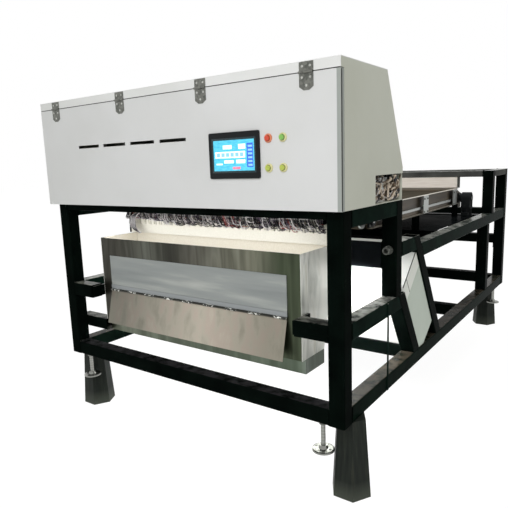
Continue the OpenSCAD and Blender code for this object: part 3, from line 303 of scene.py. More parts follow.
def spangled_zinc(name, pale, dark):
    # Zinc plate: dull grey metal with a crystal spangle 11 mm across, drawn coarser than the real one so
    # that it shows.
    made, tree, bsdf, place = material(name, Base_Color=pale, Metallic=0.9)
    spangle = add(tree, "TexVoronoi", {"Vector": place, "Scale": per_mm(11)}, out="Color")
    level = add(tree, "SeparateColor", {"Color": spangle})
    add(tree, "ValToRGB", {"Fac": level}, [(0.1, dark), (0.9, pale)], to=bsdf["Base Color"])
    surface(tree, bsdf, rough=(level, 0.34, 0.56))
    return made


def piano_hinge_steel():
    # Rolled stainless hinge: leaves as pale as the cover sheet, and knuckles drawn as a dark joint
    # with white flecks that are painted glints.
    made, tree, bsdf, place = material("piano_hinge_steel", Base_Color="#93979A", Metallic=0.3,
                                       Roughness=0.35)
    fleck = add(tree, "TexNoise", {"Vector": place, "Scale": per_mm(11), "Detail": 3})
    spark = add(tree, "ValToRGB", {"Fac": fleck},
                [(0.5, "#30312D"), (0.56, "#77776F"), (0.6, "#FFFFFB")])
    fade(tree, place, "Z", at(0, 0, PANEL_FOOT + 2).z, at(0, 0, PANEL_FOOT - 1).z, linear("#93979A"),
         spark, to=bsdf["Base Color"])
    return made


def turned_steel():
    # Turned stainless bar: bright metal with soft tool rings up its height, 16 mm apart, drawn far
    # coarser than the real ones so that they show.
    made, tree, bsdf, place = material("turned_steel", Base_Color="#B9BAB6", Metallic=1.0,
                                       Roughness=0.28)
    rings = add(tree, "TexWave", {"Vector": place, "Scale": per_mm(2.5) / WAVE_RADIANS,
                                  "Distortion": 0.4}, bands_direction="Z", out="Fac")
    add(tree, "ValToRGB", {"Fac": rings}, [(0.0, "#868782"), (1.0, "#979893")], to=bsdf["Base Color"])
    surface(tree, bsdf, bump=(rings, 0.05, 0.3))
    return made


def drawn_metal(name, pale, dark):
    # Drawn or ground bar: soft bright metal with a straight fine grain along its length.
    made, tree, bsdf, place = material(name, Base_Color=pale, Metallic=1.0)
    grain = streaks(tree, place, (260, 1.5, 1.5), 3)
    add(tree, "ValToRGB", {"Fac": grain}, [(0.3, dark), (0.7, pale)], to=bsdf["Base Color"])
    surface(tree, bsdf, rough=(grain, 0.3, 0.48))
    return made


def painted_casting():
    # Sand-cast iron under black paint: matt, with a sandy skin about 2 mm in grain.
    made, tree, bsdf, place = material("painted_casting", Base_Color="#1C1F20", Roughness=0.55,
                                       Specular_IOR_Level=0.12)
    sand = add(tree, "TexNoise", {"Vector": place, "Scale": per_mm(2), "Detail": 4})
    add(tree, "ValToRGB", {"Fac": sand}, [(0.3, "#131517"), (0.7, "#232627")], to=bsdf["Base Color"])
    surface(tree, bsdf, bump=(sand, 0.4, 0.4))
    return made


def woven_belting():
    # Coated conveyor belting: a matt brown-grey face with a woven pattern 50 mm apart, drawn far
    # coarser than the real one so that it shows, and dusty tracks along the run.
    made, tree, bsdf, place = material("woven_belting", Base_Color="#3F3A31", Roughness=0.8,
                                       Specular_IOR_Level=0.03)
    dust = streaks(tree, place, (90, 1500, 90), 4)
    add(tree, "ValToRGB", {"Fac": dust}, [(0.3, "#332E26"), (0.7, "#463F34")], to=bsdf["Base Color"])
    warp, weft = [add(tree, "TexWave", {"Vector": place, "Scale": per_mm(8) / WAVE_RADIANS},
                      bands_direction=axis, out="Fac") for axis in "XY"]
    weave = add(tree, "Math", {0: warp, 1: weft}, operation="MULTIPLY")
    surface(tree, bsdf, bump=(weave, 0.3, 0.5))
    return made


def float_glass():
    # Float glass under a film of white dust: half clear with a faint green, and dull where dust lies.
    made, tree, bsdf, place = material("dusty_float_glass", Base_Color="#E9F1EE", IOR=1.52,
                                       Transmission_Weight=0.3, Specular_IOR_Level=0.2)
    film = add(tree, "TexNoise", {"Vector": place, "Scale": per_mm(70), "Detail": 4})
    surface(tree, bsdf, rough=(film, 0.2, 0.5))
    return made


def moulded_plastic(name, pale, dark, roughness, grain_mm, **shader):
    # Moulded plastic: an even colour with a fine spark-eroded grain that softens its shine.
    made, tree, bsdf, place = material(name, Base_Color=pale, **shader)
    grain = add(tree, "TexNoise", {"Vector": place, "Scale": per_mm(grain_mm), "Detail": 3})
    add(tree, "ValToRGB", {"Fac": grain}, [(0.3, dark), (0.7, pale)], to=bsdf["Base Color"])
    surface(tree, bsdf, rough=(grain, roughness - 0.08, roughness + 0.1), bump=(grain, 0.15, 0.15))
    return made


def lit_display(name, code, strength, fleck):
    # Lit liquid-crystal display: an even glow with a fine line structure, under smooth glass.
    made, tree, bsdf, place = material(name, Base_Color=code, Roughness=0.12, Emission_Strength=strength)
    lines = streaks(tree, place, (22, 22, 5), 2)
    glow = add(tree, "ValToRGB", {"Fac": lines}, [(0.3, fleck), (0.7, code)], to=bsdf["Emission Color"])
    tree.links.new(glow, bsdf["Base Color"])
    return made


def feed_back_sheet():
    # Painted steel back plate, a dull pinkish cream, with painted shade that turns its lower lip dark
    # brown.
    made, tree, bsdf, place = material("painted_feed_plate", Base_Color="#E9DFD7",
                                       Specular_IOR_Level=0.2)
    scuff = streaks(tree, place, (120, 120, 8), 4)
    paint = add(tree, "ValToRGB", {"Fac": scuff}, [(0.3, "#E2D7CF"), (0.7, "#F0E8E1")])
    fade(tree, place, "Z", at(0, 0, -57).z, at(0, 0, -61).z, paint, linear("#4A443A"),
         to=bsdf["Base Color"])
    surface(tree, bsdf, rough=(scuff, 0.42, 0.6))
    return made


def collar_polycarbonate():
    # Polycarbonate collars: pale yellow, and orange round the red cap, smooth and slightly clear.
    made, tree, bsdf, place = material("collar_polycarbonate", Base_Color="#DCD69E", Coat_Weight=0.3)
    away = add(tree, "VectorMath", {0: place, 1: at(*BUTTON_PLACES[0])}, operation="DISTANCE",
               out="Value")
    near = add(tree, "Math", {0: away, 1: COLLAR_REACH}, operation="LESS_THAN")
    add(tree, "Mix", {0: near, 6: linear("#DCD69E"), 7: linear("#E0855F")}, data_type="RGBA",
        to=bsdf["Base Color"], out=2)
    swirl = add(tree, "TexNoise", {"Vector": place, "Scale": per_mm(6), "Detail": 2})
    surface(tree, bsdf, rough=(swirl, 0.18, 0.34))
    return made


# Mesh helpers

def lathe(bm, profile, place, axis, steps):
    """Turns a profile of (radius, height) pairs in millimetres about an axis through a place."""
    turn = Vector(axis).normalized().to_track_quat("Z", "Y")
    rings = []
    for radius, height in profile:
        ring = []
        for i in range(steps):
            angle = 2 * math.pi * i / steps
            local = Vector((radius * math.cos(angle), radius * math.sin(angle), height)) * MM
            ring.append(bm.verts.new(place + turn @ local))
        rings.append(ring)
    for low, high in zip(rings, rings[1:]):
        for i in range(steps):
            j = (i + 1) % steps
            bm.faces.new((low[i], low[j], high[j], high[i]))
    bm.faces.new(list(reversed(rings[0])))
    bm.faces.new(rings[-1])


def slab(bm, low, high, soft):
    """A block between two corners in millimetres from the datum, with its edges softened."""
    a, b = at(*low), at(*high)
    made = bmesh.ops.create_cube(bm, size=1.0)["verts"]
    for v in made:
        v.co = Vector((a[i] + (v.co[i] + 0.5) * (b[i] - a[i]) for i in range(3)))
    edges = {e for v in made for e in v.link_edges}
    bmesh.ops.bevel(bm, geom=list(edges), offset=soft * MM, segments=2, affect="EDGES", profile=0.5)


def extrude_outline(bm, outline, x0, x1):
    """A closed outline of (depth, height) pairs in millimetres, drawn out across the width."""
    ends = [[bm.verts.new(at(x, y, z)) for y, z in outline] for x in (x0, x1)]
    count = len(outline)
    for i in range(count):
        j = (i + 1) % count
        bm.faces.new((ends[0][i], ends[0][j], ends[1][j], ends[1][i]))
    bm.faces.new(ends[0])
    bm.faces.new(list(reversed(ends[1])))


def piece(name, bm, finish, body, smooth=30):
    """Makes an object of a finished mesh, gives it its material, and puts it on its body."""
    bmesh.ops.recalc_face_normals(bm, faces=bm.faces)
    mesh = bpy.data.meshes.new(name)
    bm.to_mesh(mesh)
    bm.free()
    for face in mesh.polygons:
        face.use_smooth = True
    mesh.set_sharp_from_angle(angle=math.radians(smooth))
    made = bpy.data.objects.new(name, mesh)
    bpy.context.scene.collection.objects.link(made)
    mesh.materials.append(finish)
    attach(made, body)


def strands(name, runs, radius, finish, body, smooth=True, closed=False):
    """Round strands along runs of places, all in one piece."""
    curve = bpy.data.curves.new(name, "CURVE")
    curve.dimensions = "3D"
    curve.bevel_depth = radius * MM
    curve.bevel_resolution = 1
    curve.resolution_u = 3
    curve.use_fill_caps = True
    for run in runs:
        spline = curve.splines.new("NURBS" if smooth else "POLY")
        spline.points.add(len(run) - 1)
        for point, spot in zip(spline.points, run):
            point.co = (*spot, 1.0)
        spline.use_cyclic_u = closed
        if smooth:
            spline.order_u = 4
            spline.use_endpoint_u = True
    made = bpy.data.objects.new(name, curve)
    bpy.context.scene.collection.objects.link(made)
    curve.materials.append(finish)
    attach(made, body)
    return made


# Camera, light and floor, in metres and radians

CAMERA_PLACE = (1.9560, -3.54895, 1.55455)
CAMERA_YAW, CAMERA_PITCH, CAMERA_ROLL = 0.6345, -0.1704, -0.0357
# Lens and sensor are in millimetres
CAMERA_LENS, SENSOR_W = 37.285, 36.0
FAR_END = 200.0
WORLD_LEVEL = 0.42
FLOOR_HALF = 40.0
FLOOR_GLOW, FLOOR_WHITE = 0.85, 1.12
# Soft lamps: name, place, aim, width, height, watts
LAMPS = [
    ("key_lamp", (1.5, -4.8, 3.3), (0.1, -1.4, 1.4), 2.2, 2.2, 86),
    ("top_lamp", (0.0, 0.5, 6.0), (0.0, 0.0, 1.0), 4.0, 4.0, 110),
    ("chute_lamp", at(0, 165, -170), at(0, 433, -232), 1.4, 0.05, 1.9),
    ("box_lamp", at(0, 575, -520), at(0, 820, -600), 1.7, 0.35, 24),
    ("feed_lamp", at(0, 1500, 70), at(0, 2750, -20), 1.2, 0.2, 6),
]


def set_camera():
    """The camera that was fitted to the photograph's straight edges."""
    camera = bpy.data.objects.new("camera", bpy.data.cameras.new("camera"))
    bpy.context.scene.collection.objects.link(camera)
    ahead = Vector((-math.sin(CAMERA_YAW) * math.cos(CAMERA_PITCH),
                    math.cos(CAMERA_YAW) * math.cos(CAMERA_PITCH),
                    math.sin(CAMERA_PITCH)))
    camera.location = CAMERA_PLACE
    camera.rotation_mode = "QUATERNION"
    camera.rotation_quaternion = ahead.to_track_quat("-Z", "Y") @ Quaternion(UP, CAMERA_ROLL)
    camera.data.lens = CAMERA_LENS
    camera.data.sensor_width = SENSOR_W
    camera.data.clip_end = FAR_END
    bpy.context.scene.camera = camera


def shown(tree):
    """1 where a thing is seen straight, mirrored or through glass, and 0 where it only gives light."""
    ray = add(tree, "LightPath").node.outputs
    seen = add(tree, "Math", {0: ray["Is Camera Ray"], 1: ray["Is Glossy Ray"]}, operation="MAXIMUM")
    return add(tree, "Math", {0: seen, 1: ray["Is Transmission Ray"]}, operation="MAXIMUM")


def studio_floor():
    # Matt white paper: mostly its own white to the eye, so that the shadow on it stays pale.
    made, tree, bsdf, place = material("studio_paper", Base_Color="#F6F6F5", Roughness=0.9,
                                       Specular_IOR_Level=0.1)
    fibre = add(tree, "TexNoise", {"Vector": place, "Scale": per_mm(40), "Detail": 2})
    surface(tree, bsdf, rough=(fibre, 0.85, 0.95))
    share = add(tree, "Math", {0: shown(tree), 1: FLOOR_GLOW}, operation="MULTIPLY")
    glow = add(tree, "Emission", {"Color": (1, 1, 1, 1), "Strength": FLOOR_WHITE})
    paper = tree.nodes["Principled BSDF"].outputs[0]
    add(tree, "MixShader", {0: share, 1: paper, 2: glow},
        to=tree.nodes["Material Output"].inputs["Surface"])
    return made


def set_light(floor_finish):
    """The room's own light, white to the eye, with soft lamps that no mirror shows, and the floor."""
    scene = bpy.context.scene
    scene.view_settings.view_transform = "Standard"
    world = bpy.data.worlds.new("studio")
    scene.world = world
    world.use_nodes = True
    tree = world.node_tree
    tree.nodes.clear()
    dim = add(tree, "Background", {"Color": linear("#F3F6EA"), "Strength": WORLD_LEVEL})
    white = add(tree, "Background", {"Color": (1, 1, 1, 1), "Strength": 1.0})
    add(tree, "MixShader", {0: shown(tree), 1: dim, 2: white},
        to=tree.nodes.new("ShaderNodeOutputWorld").inputs["Surface"])
    for name, spot, aim, wide, high, watts in LAMPS:
        lamp = bpy.data.lights.new(name, "AREA")
        lamp.shape = "RECTANGLE"
        lamp.size, lamp.size_y = wide, high
        lamp.energy = watts
        made = bpy.data.objects.new(name, lamp)
        scene.collection.objects.link(made)
        made.location = spot
        made.rotation_mode = "QUATERNION"
        made.rotation_quaternion = (Vector(aim) - Vector(spot)).to_track_quat("-Z", "Y")
        made.visible_glossy = False
        made.visible_camera = False
    bm = bmesh.new()
    bmesh.ops.create_grid(bm, x_segments=2, y_segments=2, size=FLOOR_HALF)
    mesh = bpy.data.meshes.new("floor")
    bm.to_mesh(mesh)
    bm.free()
    floor = bpy.data.objects.new("floor", mesh)
    scene.collection.objects.link(floor)
    mesh.materials.append(floor_finish)


# Materials

enamel = black_enamel("gloss_black_enamel", "#040706", "#0A120F", "#83847D", 0.36)
clean_enamel = black_enamel("clean_black_enamel", "#040606", "#0A0E0D", "#16181A", 0.4, shine=0.012,
                            index=1.04)
cross_enamel = black_enamel("matt_black_enamel", "#050908", "#0B120F", "#302F32", 0.36, shine=0.012)
# Conveyor rails: a greener base as painted reflection, and grey tops that are partly real dust and
# partly painted highlight.
rail_enamel = black_enamel("black_enamel_dust_and_sheen", "#0A1512", "#14251F", "#7C7D78", 0.34)
# Side rails: the near-white dust colour is a painted highlight on their shiny tops.
smeared_enamel = black_enamel("black_enamel_painted_top_highlight", "#0A1512", "#14251F", "#C6C7C3", 0.34)
# Air tank: nearly white over most of its upward faces.
tank_enamel = black_enamel("black_enamel_white_top", "#121417", "#1E2225", "#E6E7E4", 0.1)
floor_enamel = black_enamel("dusty_black_enamel", "#0A1410", "#14211B", "#433D34", 0.32)
# Gantry bars: black enamel painted grey as a painted sheen of the lamps, with pale tops as a painted
# highlight.
worn_enamel = black_enamel("black_enamel_painted_sheen", "#3A3B3A", "#555654", "#A3A4A0", 0.3)
PLAIN_EDGE = [(0.0, "#FFFFFF"), (1.0, "#FFFFFF")]
lid_coat = powder_coat("powder_coat_lid", "#E3E3E5", "#DDDDDE", PLAIN_EDGE)
cabinet_coat = powder_coat("powder_coat_pale_grey", "#D0D1C7", "#CACBC0", PLAIN_EDGE)
# The door's edge tones lay a darker band of painted shade on its rolled right edge.
door_coat = powder_coat("powder_coat_door", "#DADADD", "#D4D4D6", [(0.0, "#FFFFFF"), (0.36, "#FFFFFF"),
                                                                   (0.42, "#B9BEBA"), (1.0, "#BEC3BE")])
# The lower box's white and its end caps' grey-green are a painted lit copy and a painted shaded copy of
# one pale coat.
box_coat = powder_coat("powder_coat_white", "#F2F3F0", "#EAECE8", PLAIN_EDGE)
cap_coat = powder_coat("powder_coat_grey_green", "#C9D3CA", "#C0CBC1", PLAIN_EDGE)
pedestal_paint = satin_grey_paint()
# Chute front wall: its pale and dark bands and the green-tinged tones towards the right are painted
# reflection.
chute_sheet = rolled_stainless(
    "rolled_stainless", [(0.34, "#BDBCB6"), (0.44, "#F2F1EC"), (0.5, "#C6C5BF"), (0.58, "#FFFFFC"),
                         (0.66, "#D2D1CA"), (0.72, "#F2F1EC")], 150,
    [(0.1, "#45443E"), (0.28, "#63655E"), (0.42, "#3E3E39"), (0.54, "#65645D"), (0.8, "#838477"),
     (0.92, "#4D5645")])
# Spout: its green-grey is a painted reflection of a green floor, and its pale right end a painted
# highlight.
spout_sheet = rolled_stainless(
    "rolled_stainless_spout", [(0.25, "#555D52"), (0.5, "#6B746A"), (0.75, "#909990")], 90,
    [(0.0, "#F4EEE2"), (0.5, "#E6E7DC"), (0.98, "#DDE5D8"), (1.0, "#FFFFFF")])
body_sheet = marbled_stainless()
flap_sheet = stained_stainless()
panel_film = protective_film()
channel_sheet = rolled_channel_steel()
roller_steel = drawn_metal("ground_roller_steel", "#A9ACA9", "#8B8E8B")
zinc = spangled_zinc("spangled_zinc", "#83857F", "#5C5E5A")
hinge_zinc = spangled_zinc("dark_zinc", "#84857F", "#5F615C")
screw_zinc = spangled_zinc("bright_zinc", "#D8D8D3", "#AEB0AB")
hinge_steel = piano_hinge_steel()
foot_steel = turned_steel()
aluminium = drawn_metal("drawn_aluminium", "#B4B7B4", "#9A9D9B")
casting = painted_casting()
belting = woven_belting()
glass = float_glass()
black_abs = moulded_plastic("moulded_black_abs", "#121518", "#0C0E11", 0.42, 1.6, Specular_IOR_Level=0.2)
display_cyan = lit_display("lit_display_cyan", "#58BDD8", 0.7, "#36A4C6")
display_white = lit_display("lit_display_white", "#F2FBFC", 0.85, "#CDEFF6")
display_blue = lit_display("lit_display_blue", "#2F63CB", 0.8, "#2450B0")
display_sky = lit_display("lit_display_sky", "#7FB4EE", 0.8, "#79AFEB")
display_pink = lit_display("lit_display_pink", "#F08FA6", 0.8, "#E0607E")
display_edge = moulded_plastic("display_border", "#0E3038", "#092229", 0.25, 3.0)
red_cap, green_cap, yellow_cap = [
    moulded_plastic(f"lit_{tint}_acrylic", pale, dark, 0.22, 5.0, Emission_Color=glow,
                    Emission_Strength=level, Coat_Weight=0.4)
    for tint, pale, dark, glow, level in [("red", "#CE4526", "#B83317", "#C8361A", 0.12),
                                          ("green", "#8DBE5E", "#6BA641", "#5DAA3A", 0.1),
                                          ("yellow", "#B9C35A", "#9FAE3C", "#A9B840", 0.1)]]
collars = collar_polycarbonate()
ivory = moulded_plastic("glass_filled_nylon_ivory", "#E9E6DC", "#DAD6C9", 0.5, 3.0)
cream_sheet = moulded_plastic("cream_polyethylene_sheet", "#EFE9DB", "#E6DFCF", 0.45, 8.0)
feed_sheet = feed_back_sheet()
LEADS = {tint: moulded_plastic("pvc_lead_" + tint, pale, dark, 0.4, 4.0) for tint, pale, dark in [
    ("red", "#A5302B", "#872420"), ("black", "#1D1A20", "#131116"), ("purple", "#574B5C", "#43394A"),
    ("white", "#E6E2E3", "#CFCACC")]}
skirt_rubber = moulded_plastic("skirt_rubber_brown", "#5E5448", "#4B4238", 0.7, 5.0)
loom_brown = moulded_plastic("loom_sleeve_brown", "#75624F", "#57483A", 0.6, 5.0)
loom_cream = moulded_plastic("loom_sleeve_cream", "#E2D3C4", "#CDBBAA", 0.5, 6.0)
seal_rubber = moulded_plastic("seal_rubber", "#2B2D2B", "#1F211F", 0.7, 3.0)
bowl_plastic = moulded_plastic("cloudy_polycarbonate", "#E6DCD8", "#D8CAC6", 0.3, 6.0, Coat_Weight=0.3)
terminal_green = moulded_plastic("terminal_green_nylon", "#5E8F62", "#4C7A50", 0.45, 4.0)

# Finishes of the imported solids, by node
FINISHES = [
    (enamel, ["front_posts", "middle_posts", "rear_posts", "diagonal_braces", "chute_arms"]),
    (clean_enamel, ["conveyor_beams", "ejector_beam"]),
    (cross_enamel, ["cross_rails"]),
    (rail_enamel, ["conveyor_rails"]),
    (tank_enamel, ["air_tank"]),
    (smeared_enamel, ["side_rails"]),
    (floor_enamel, ["bottom_rails"]),
    (worn_enamel, ["gantry_bars"]),
    (pedestal_paint, ["pedestals"]),
    (foot_steel, ["front_left_foot", "front_right_foot", "rear_left_foot", "rear_right_foot"]),
    (zinc, ["levelling_nuts", "air_inlet"]),
    (hinge_steel, ["chute_hinge"]),
    (hinge_zinc, ["lid_hinge_leaves", "door_hinge_leaves"]),
    (cabinet_coat, ["left_side_panel", "right_side_panel", "rear_panel", "floor_panel",
                    "lamp_housings"]),
    (lid_coat, ["cabinet_lid"]),
    (door_coat, ["front_door"]),
    (box_coat, ["lower_box"]),
    (cap_coat, ["lower_box_end_caps"]),
    (glass, ["inspection_windows"]),
    (aluminium, ["camera_beam", "service_fittings", "conveyor_straps"]),
    (black_abs, ["line_cameras", "hmi_frame"]),
    (display_cyan, ["hmi_screen"]),
    (collars, ["button_collars"]),
    (red_cap, ["red_button"]),
    (green_cap, ["green_button"]),
    (yellow_cap, ["left_yellow_button", "right_yellow_button"]),
    (ivory, ["ejector_bar", "valve_bodies"]),
    (LEADS["red"], ["valve_leads"]),
    (body_sheet, ["chute_body"]),
    (chute_sheet, ["chute_front_wall"]),
    (spout_sheet, ["chute_spout"]),
    (panel_film, ["chute_panel"]),
    (flap_sheet, ["chute_flap"]),
    (channel_sheet, ["conveyor_sides", "belt_bed"]),
    (roller_steel, ["head_drum", "tail_drum"]),
    (belting, ["conveyor_belt"]),
    (casting, ["drum_bearings", "drive_gearmotor"]),
    (feed_sheet, ["feed_plate"]),
]


def dress_solids():
    """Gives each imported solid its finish."""
    for finish, names in FINISHES:
        for name in names:
            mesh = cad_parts[name].data
            mesh.materials.clear()
            mesh.materials.append(finish)


# Door pieces

SCREW_HEAD = [(5.2, 0), (5.2, 0.8), (4.2, 1.8), (2.4, 2.2), (1.9, 1.2), (0.4, 1.0)]
# Screws of each hinge leaf: piece, body, and places as offset from the leaf's middle and height
LEAF_SCREWS = [
    ("lid_hinge_screws", "frame", [(-18, 580), (18, 580)]),
    ("door_hinge_screws", "door", [(-19, 537), (19, 537), (0, 505)]),
]


def hinge_screws():
    """Pan-head screws in the hinge leaves on the lid and on the door."""
    for name, body, spots in LEAF_SCREWS:
        bm = bmesh.new()
        for x in HINGE_X:
            for dx, z in spots:
                lathe(bm, SCREW_HEAD, at(x + dx, LEAF_Y, z), FORWARD, 14)
        piece(name, bm, screw_zinc, body)


# Layers of a plain operating page: finish, how far they stand out, and blocks in shares of the
# screen's width and height, as x0, x1, z0, z1
PAGE = {
    "white": (display_white, 0.2, [(0.04, 0.78, 0.42, 0.63), (0.24, 0.46, 0.71, 0.84),
                                   (0.62, 0.79, 0.70, 0.86), (0.26, 0.50, 0.25, 0.35),
                                   (0.56, 0.78, 0.24, 0.36), (0.06, 0.22, 0.20, 0.25)]),
    "blue": (display_blue, 0.2, [(0.82, 0.97, 0.11, 0.88)]),
    "sky": (display_sky, 0.4, [(0.85, 0.95, z, z + 0.06) for z in (0.15, 0.27, 0.39, 0.51, 0.63, 0.75)]
            + [(0.08 + 0.115 * i, 0.165 + 0.115 * i, 0.46, 0.59) for i in range(6)]),
    "pink": (display_pink, 0.2, [(0.47, 0.66, 0.05, 0.13)]),
}
BORDER_W = 9
BORDER_FRONT, BORDER_BACK = SCREEN_Y - 1.4, SCREEN_Y - 0.9


def screen_page():
    """A lit page without any writing, and a thin border round the screen."""
    left = HMI_X - SCREEN_W / 2
    foot = HMI_Z - SCREEN_H / 2
    for name, (finish, lift, blocks) in PAGE.items():
        bm = bmesh.new()
        for x0, x1, z0, z1 in blocks:
            slab(bm, (left + x0 * SCREEN_W, SCREEN_Y - lift, foot + z0 * SCREEN_H),
                 (left + x1 * SCREEN_W, SCREEN_Y, foot + z1 * SCREEN_H), 0.08)
        piece("screen_page_" + name, bm, finish, "door")
    right, top = SCREEN_W + BORDER_W, SCREEN_H + BORDER_W
    bm = bmesh.new()
    for x0, x1, z0, z1 in [(-BORDER_W, right, -BORDER_W, 0), (-BORDER_W, right, SCREEN_H, top),
                           (-BORDER_W, 0, 0, SCREEN_H), (SCREEN_W, right, 0, SCREEN_H)]:
        slab(bm, (left + x0, BORDER_FRONT, foot + z0), (left + x1, BORDER_BACK, foot + z1), 0.15)
    piece("screen_border", bm, display_edge, "door")


GAP_RING = [(12.35, 9.0), (13.6, 9.0), (13.6, 9.5), (12.35, 9.5)]
CAP_DISH = [(10.4, 0), (10.2, 0.8), (9.0, 1.0), (7.2, 0.4), (3.5, 0.1), (0.5, 0.05)]
ROUND_STEPS = 32
# Caps in the order of their places: body, finish, slot
CAPS = [
    ("red_button", red_cap, "red_plastic"),
    ("green_button", green_cap, "green_plastic"),
    ("left_yellow_button", yellow_cap, "yellow_plastic"),
    ("right_yellow_button", yellow_cap, "yellow_plastic"),
]


def button_rings():
    """A dark ring of painted shade in the gap round each cap, and a dished face on the cap."""
    bm = bmesh.new()
    for place in BUTTON_PLACES:
        lathe(bm, GAP_RING, at(*place), FORWARD, ROUND_STEPS)
    piece("button_shade_rings", bm, seal_rubber, "door")
    for (body, finish, slot), (x, _, z) in zip(CAPS, BUTTON_PLACES):
        bm = bmesh.new()
        lathe(bm, CAP_DISH, at(x, CAP_FACE, z), FORWARD, ROUND_STEPS)
        piece(body + "_dish", bm, finish, body)


# Ejector leads

LEAD_RADIUS = 1.7
LEADS_PER_VALVE = 15
PLUG_W = 22
LOOM_LEADS, LOOM_STEPS, LOOM_PITCH = 12, 28, 5.2
# Where red leads gather along the bank, as middle and half width
RED_GROUPS = [(190, 45), (550, 60)]
RED_SHARE, STRAY_RED = 0.34, 0.02
BLACK_BELOW, WHITE_BELOW = 0.52, 0.84


def lead_tint(draw, x):
    """A colour for a lead: mostly black and white, purple here and there, red in two groups."""
    red = RED_SHARE if any(abs(x - middle) < half for middle, half in RED_GROUPS) else STRAY_RED
    roll = draw.random()
    if roll < red:
        return "red"
    return "black" if roll < BLACK_BELOW else "white" if roll < WHITE_BELOW else "purple"


def valve_wires():
    """Leads that loop from each valve's plug up and along to a loom under the beam.

    They hang less deep towards the left, and one group more than the valves ends the bank at the right.
    """
    draw = random.Random(11)
    runs = {tint: [] for tint in LEADS}
    half = VALVE_COUNT * VALVE_PITCH / 2
    for i in range(VALVE_COUNT + 1):
        x = (i - (VALVE_COUNT - 1) / 2) * VALVE_PITCH
        deep = min(1.0, max(0.3, (x + 600) / 280))
        for k in range(LEADS_PER_VALVE):
            x0 = x - PLUG_W / 2 + PLUG_W * (k + 0.5) / LEADS_PER_VALVE
            z0 = BEAM_FOOT - 20 - deep * draw.uniform(2, 40)
            reach = draw.uniform(10, 44)
            drop = deep * draw.uniform(0, 16)
            end = max(x0 - draw.uniform(20, 80), -half + 4)
            lean = end - x0
            runs[lead_tint(draw, x0)].append([
                at(x0, CONNECTOR_Y, z0),
                at(x0 + 0.05 * lean, CONNECTOR_Y - 0.5 * reach, z0 - 0.1 * drop),
                at(x0 + 0.2 * lean, CONNECTOR_Y - reach, z0 - drop),
                at(x0 + 0.5 * lean, CONNECTOR_Y - reach, z0 + 0.4 * (BEAM_FOOT - z0)),
                at(x0 + 0.8 * lean, CONNECTOR_Y - 0.6 * reach, BEAM_FOOT - 6),
                at(end, CONNECTOR_Y - 0.4 * reach, BEAM_FOOT + draw.uniform(4, 30)),
            ])
    start, length = -half + 150, 2 * half - 130
    for k in range(LOOM_LEADS):
        z = BEAM_FOOT + 26 - LOOM_PITCH * k
        y = CONNECTOR_Y - draw.uniform(4, 22)
        run = []
        for j in range(LOOM_STEPS + 1):
            x = start + j * length / LOOM_STEPS
            run.append(at(x, y + draw.uniform(-5, 5), z + draw.uniform(-9, 9)))
        runs[lead_tint(draw, 0)].append(run)
    made = [strands("valve_wires_" + t, runs[t], LEAD_RADIUS, LEADS[t], "frame") for t in runs]
    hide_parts("valve_leads")


# Coil of hose at the bank's left end: its middle, half height, turns and the step between them
COIL_X, COIL_Z, COIL_RISE = -548, -134, 62
COIL_TURNS, COIL_STEP = 5, 14
COIL_ANGLES = (-88, -60, -30, 0, 30, 60, 88)
# Hose and dark strands that stand for the shade between its turns: piece, widest reach, radius, finish,
# distance in front
COILS = [("end_coil", 104, 5.6, LEADS["white"], 46), ("end_coil_shade_strands", 96.5, 1.9, LEADS["black"], 53)]


def end_coils():
    """Turns of pale hose that stand before the bank's left end, with dark strands of painted shade
    between them.
    """
    for name, first, radius, finish, near in COILS:
        arcs = []
        for k in range(COIL_TURNS):
            wide = first - COIL_STEP * k
            y = CONNECTOR_Y - near - 1.5 * k
            arcs.append([at(COIL_X - wide * math.cos(math.radians(a)), y,
                            COIL_Z + COIL_RISE * math.sin(math.radians(a))) for a in COIL_ANGLES])
        strands(name, arcs, radius, finish, "frame")


SUPPLY_X = EJECTOR_X + 50
SUPPLY_FOOT, SUPPLY_TOP = -206, -104


def supply_block():
    """The block at the bank's right end, and its cover, which laps over the end plate."""
    bm = bmesh.new()
    for x, front, back, soft in [(EJECTOR_X + 1, EJECTOR_FRONT - 6, EJECTOR_FRONT + 48, 2.0),
                                 (EJECTOR_X - 9, CONNECTOR_Y - 2.6, CONNECTOR_Y - 0.4, 0.8)]:
        slab(bm, (x, front, SUPPLY_FOOT), (SUPPLY_X, back, SUPPLY_TOP), soft)
    piece("supply_block", bm, ivory, "frame")


# Chute pieces

LINER_T = 1.6
# The lap line lies between these depths below the chute's top
LAP_TOP, LAP_FOOT = 6, 46


def chute_liner():
    """Cream sheets that line the chute's rear and side walls, with a lap line across the rear one."""
    bm = bmesh.new()
    inside = CHUTE_X - CHUTE_T
    back = CHUTE_BACK - CHUTE_T
    face = back - LINER_T
    front, foot = CHUTE_FRONT + 6, CHUTE_FOOT + 6
    extrude_outline(bm, [(back, CHUTE_TOP), (face, CHUTE_TOP), (face, CHUTE_BEND),
                         (SPOUT_BACK - 5, foot), (SPOUT_BACK - 3.4, foot), (back, CHUTE_BEND)],
                    -inside, inside)
    extrude_outline(bm, [(face, CHUTE_TOP - LAP_TOP), (face - LINER_T, CHUTE_TOP - LAP_TOP),
                         (face - LINER_T, CHUTE_TOP - LAP_FOOT), (face, CHUTE_TOP - LAP_FOOT)],
                    -inside + 2, inside - 2)
    for side in (-1, 1):
        x = sorted((side * inside, side * (inside - LINER_T)))
        extrude_outline(bm, [(front, CHUTE_TOP), (back - 2, CHUTE_TOP), (back - 2, CHUTE_BEND),
                             (SPOUT_BACK - 6, foot), (front, foot)], *x)
    piece("chute_liner", bm, cream_sheet, "frame")


FILM_ACROSS, FILM_UP = 160, 30
FILM_W, FILM_H = 2 * FLAP_HALF - 8, PANEL_TOP - PANEL_FOOT - 29
FILM_FOOT = PANEL_FOOT + 26


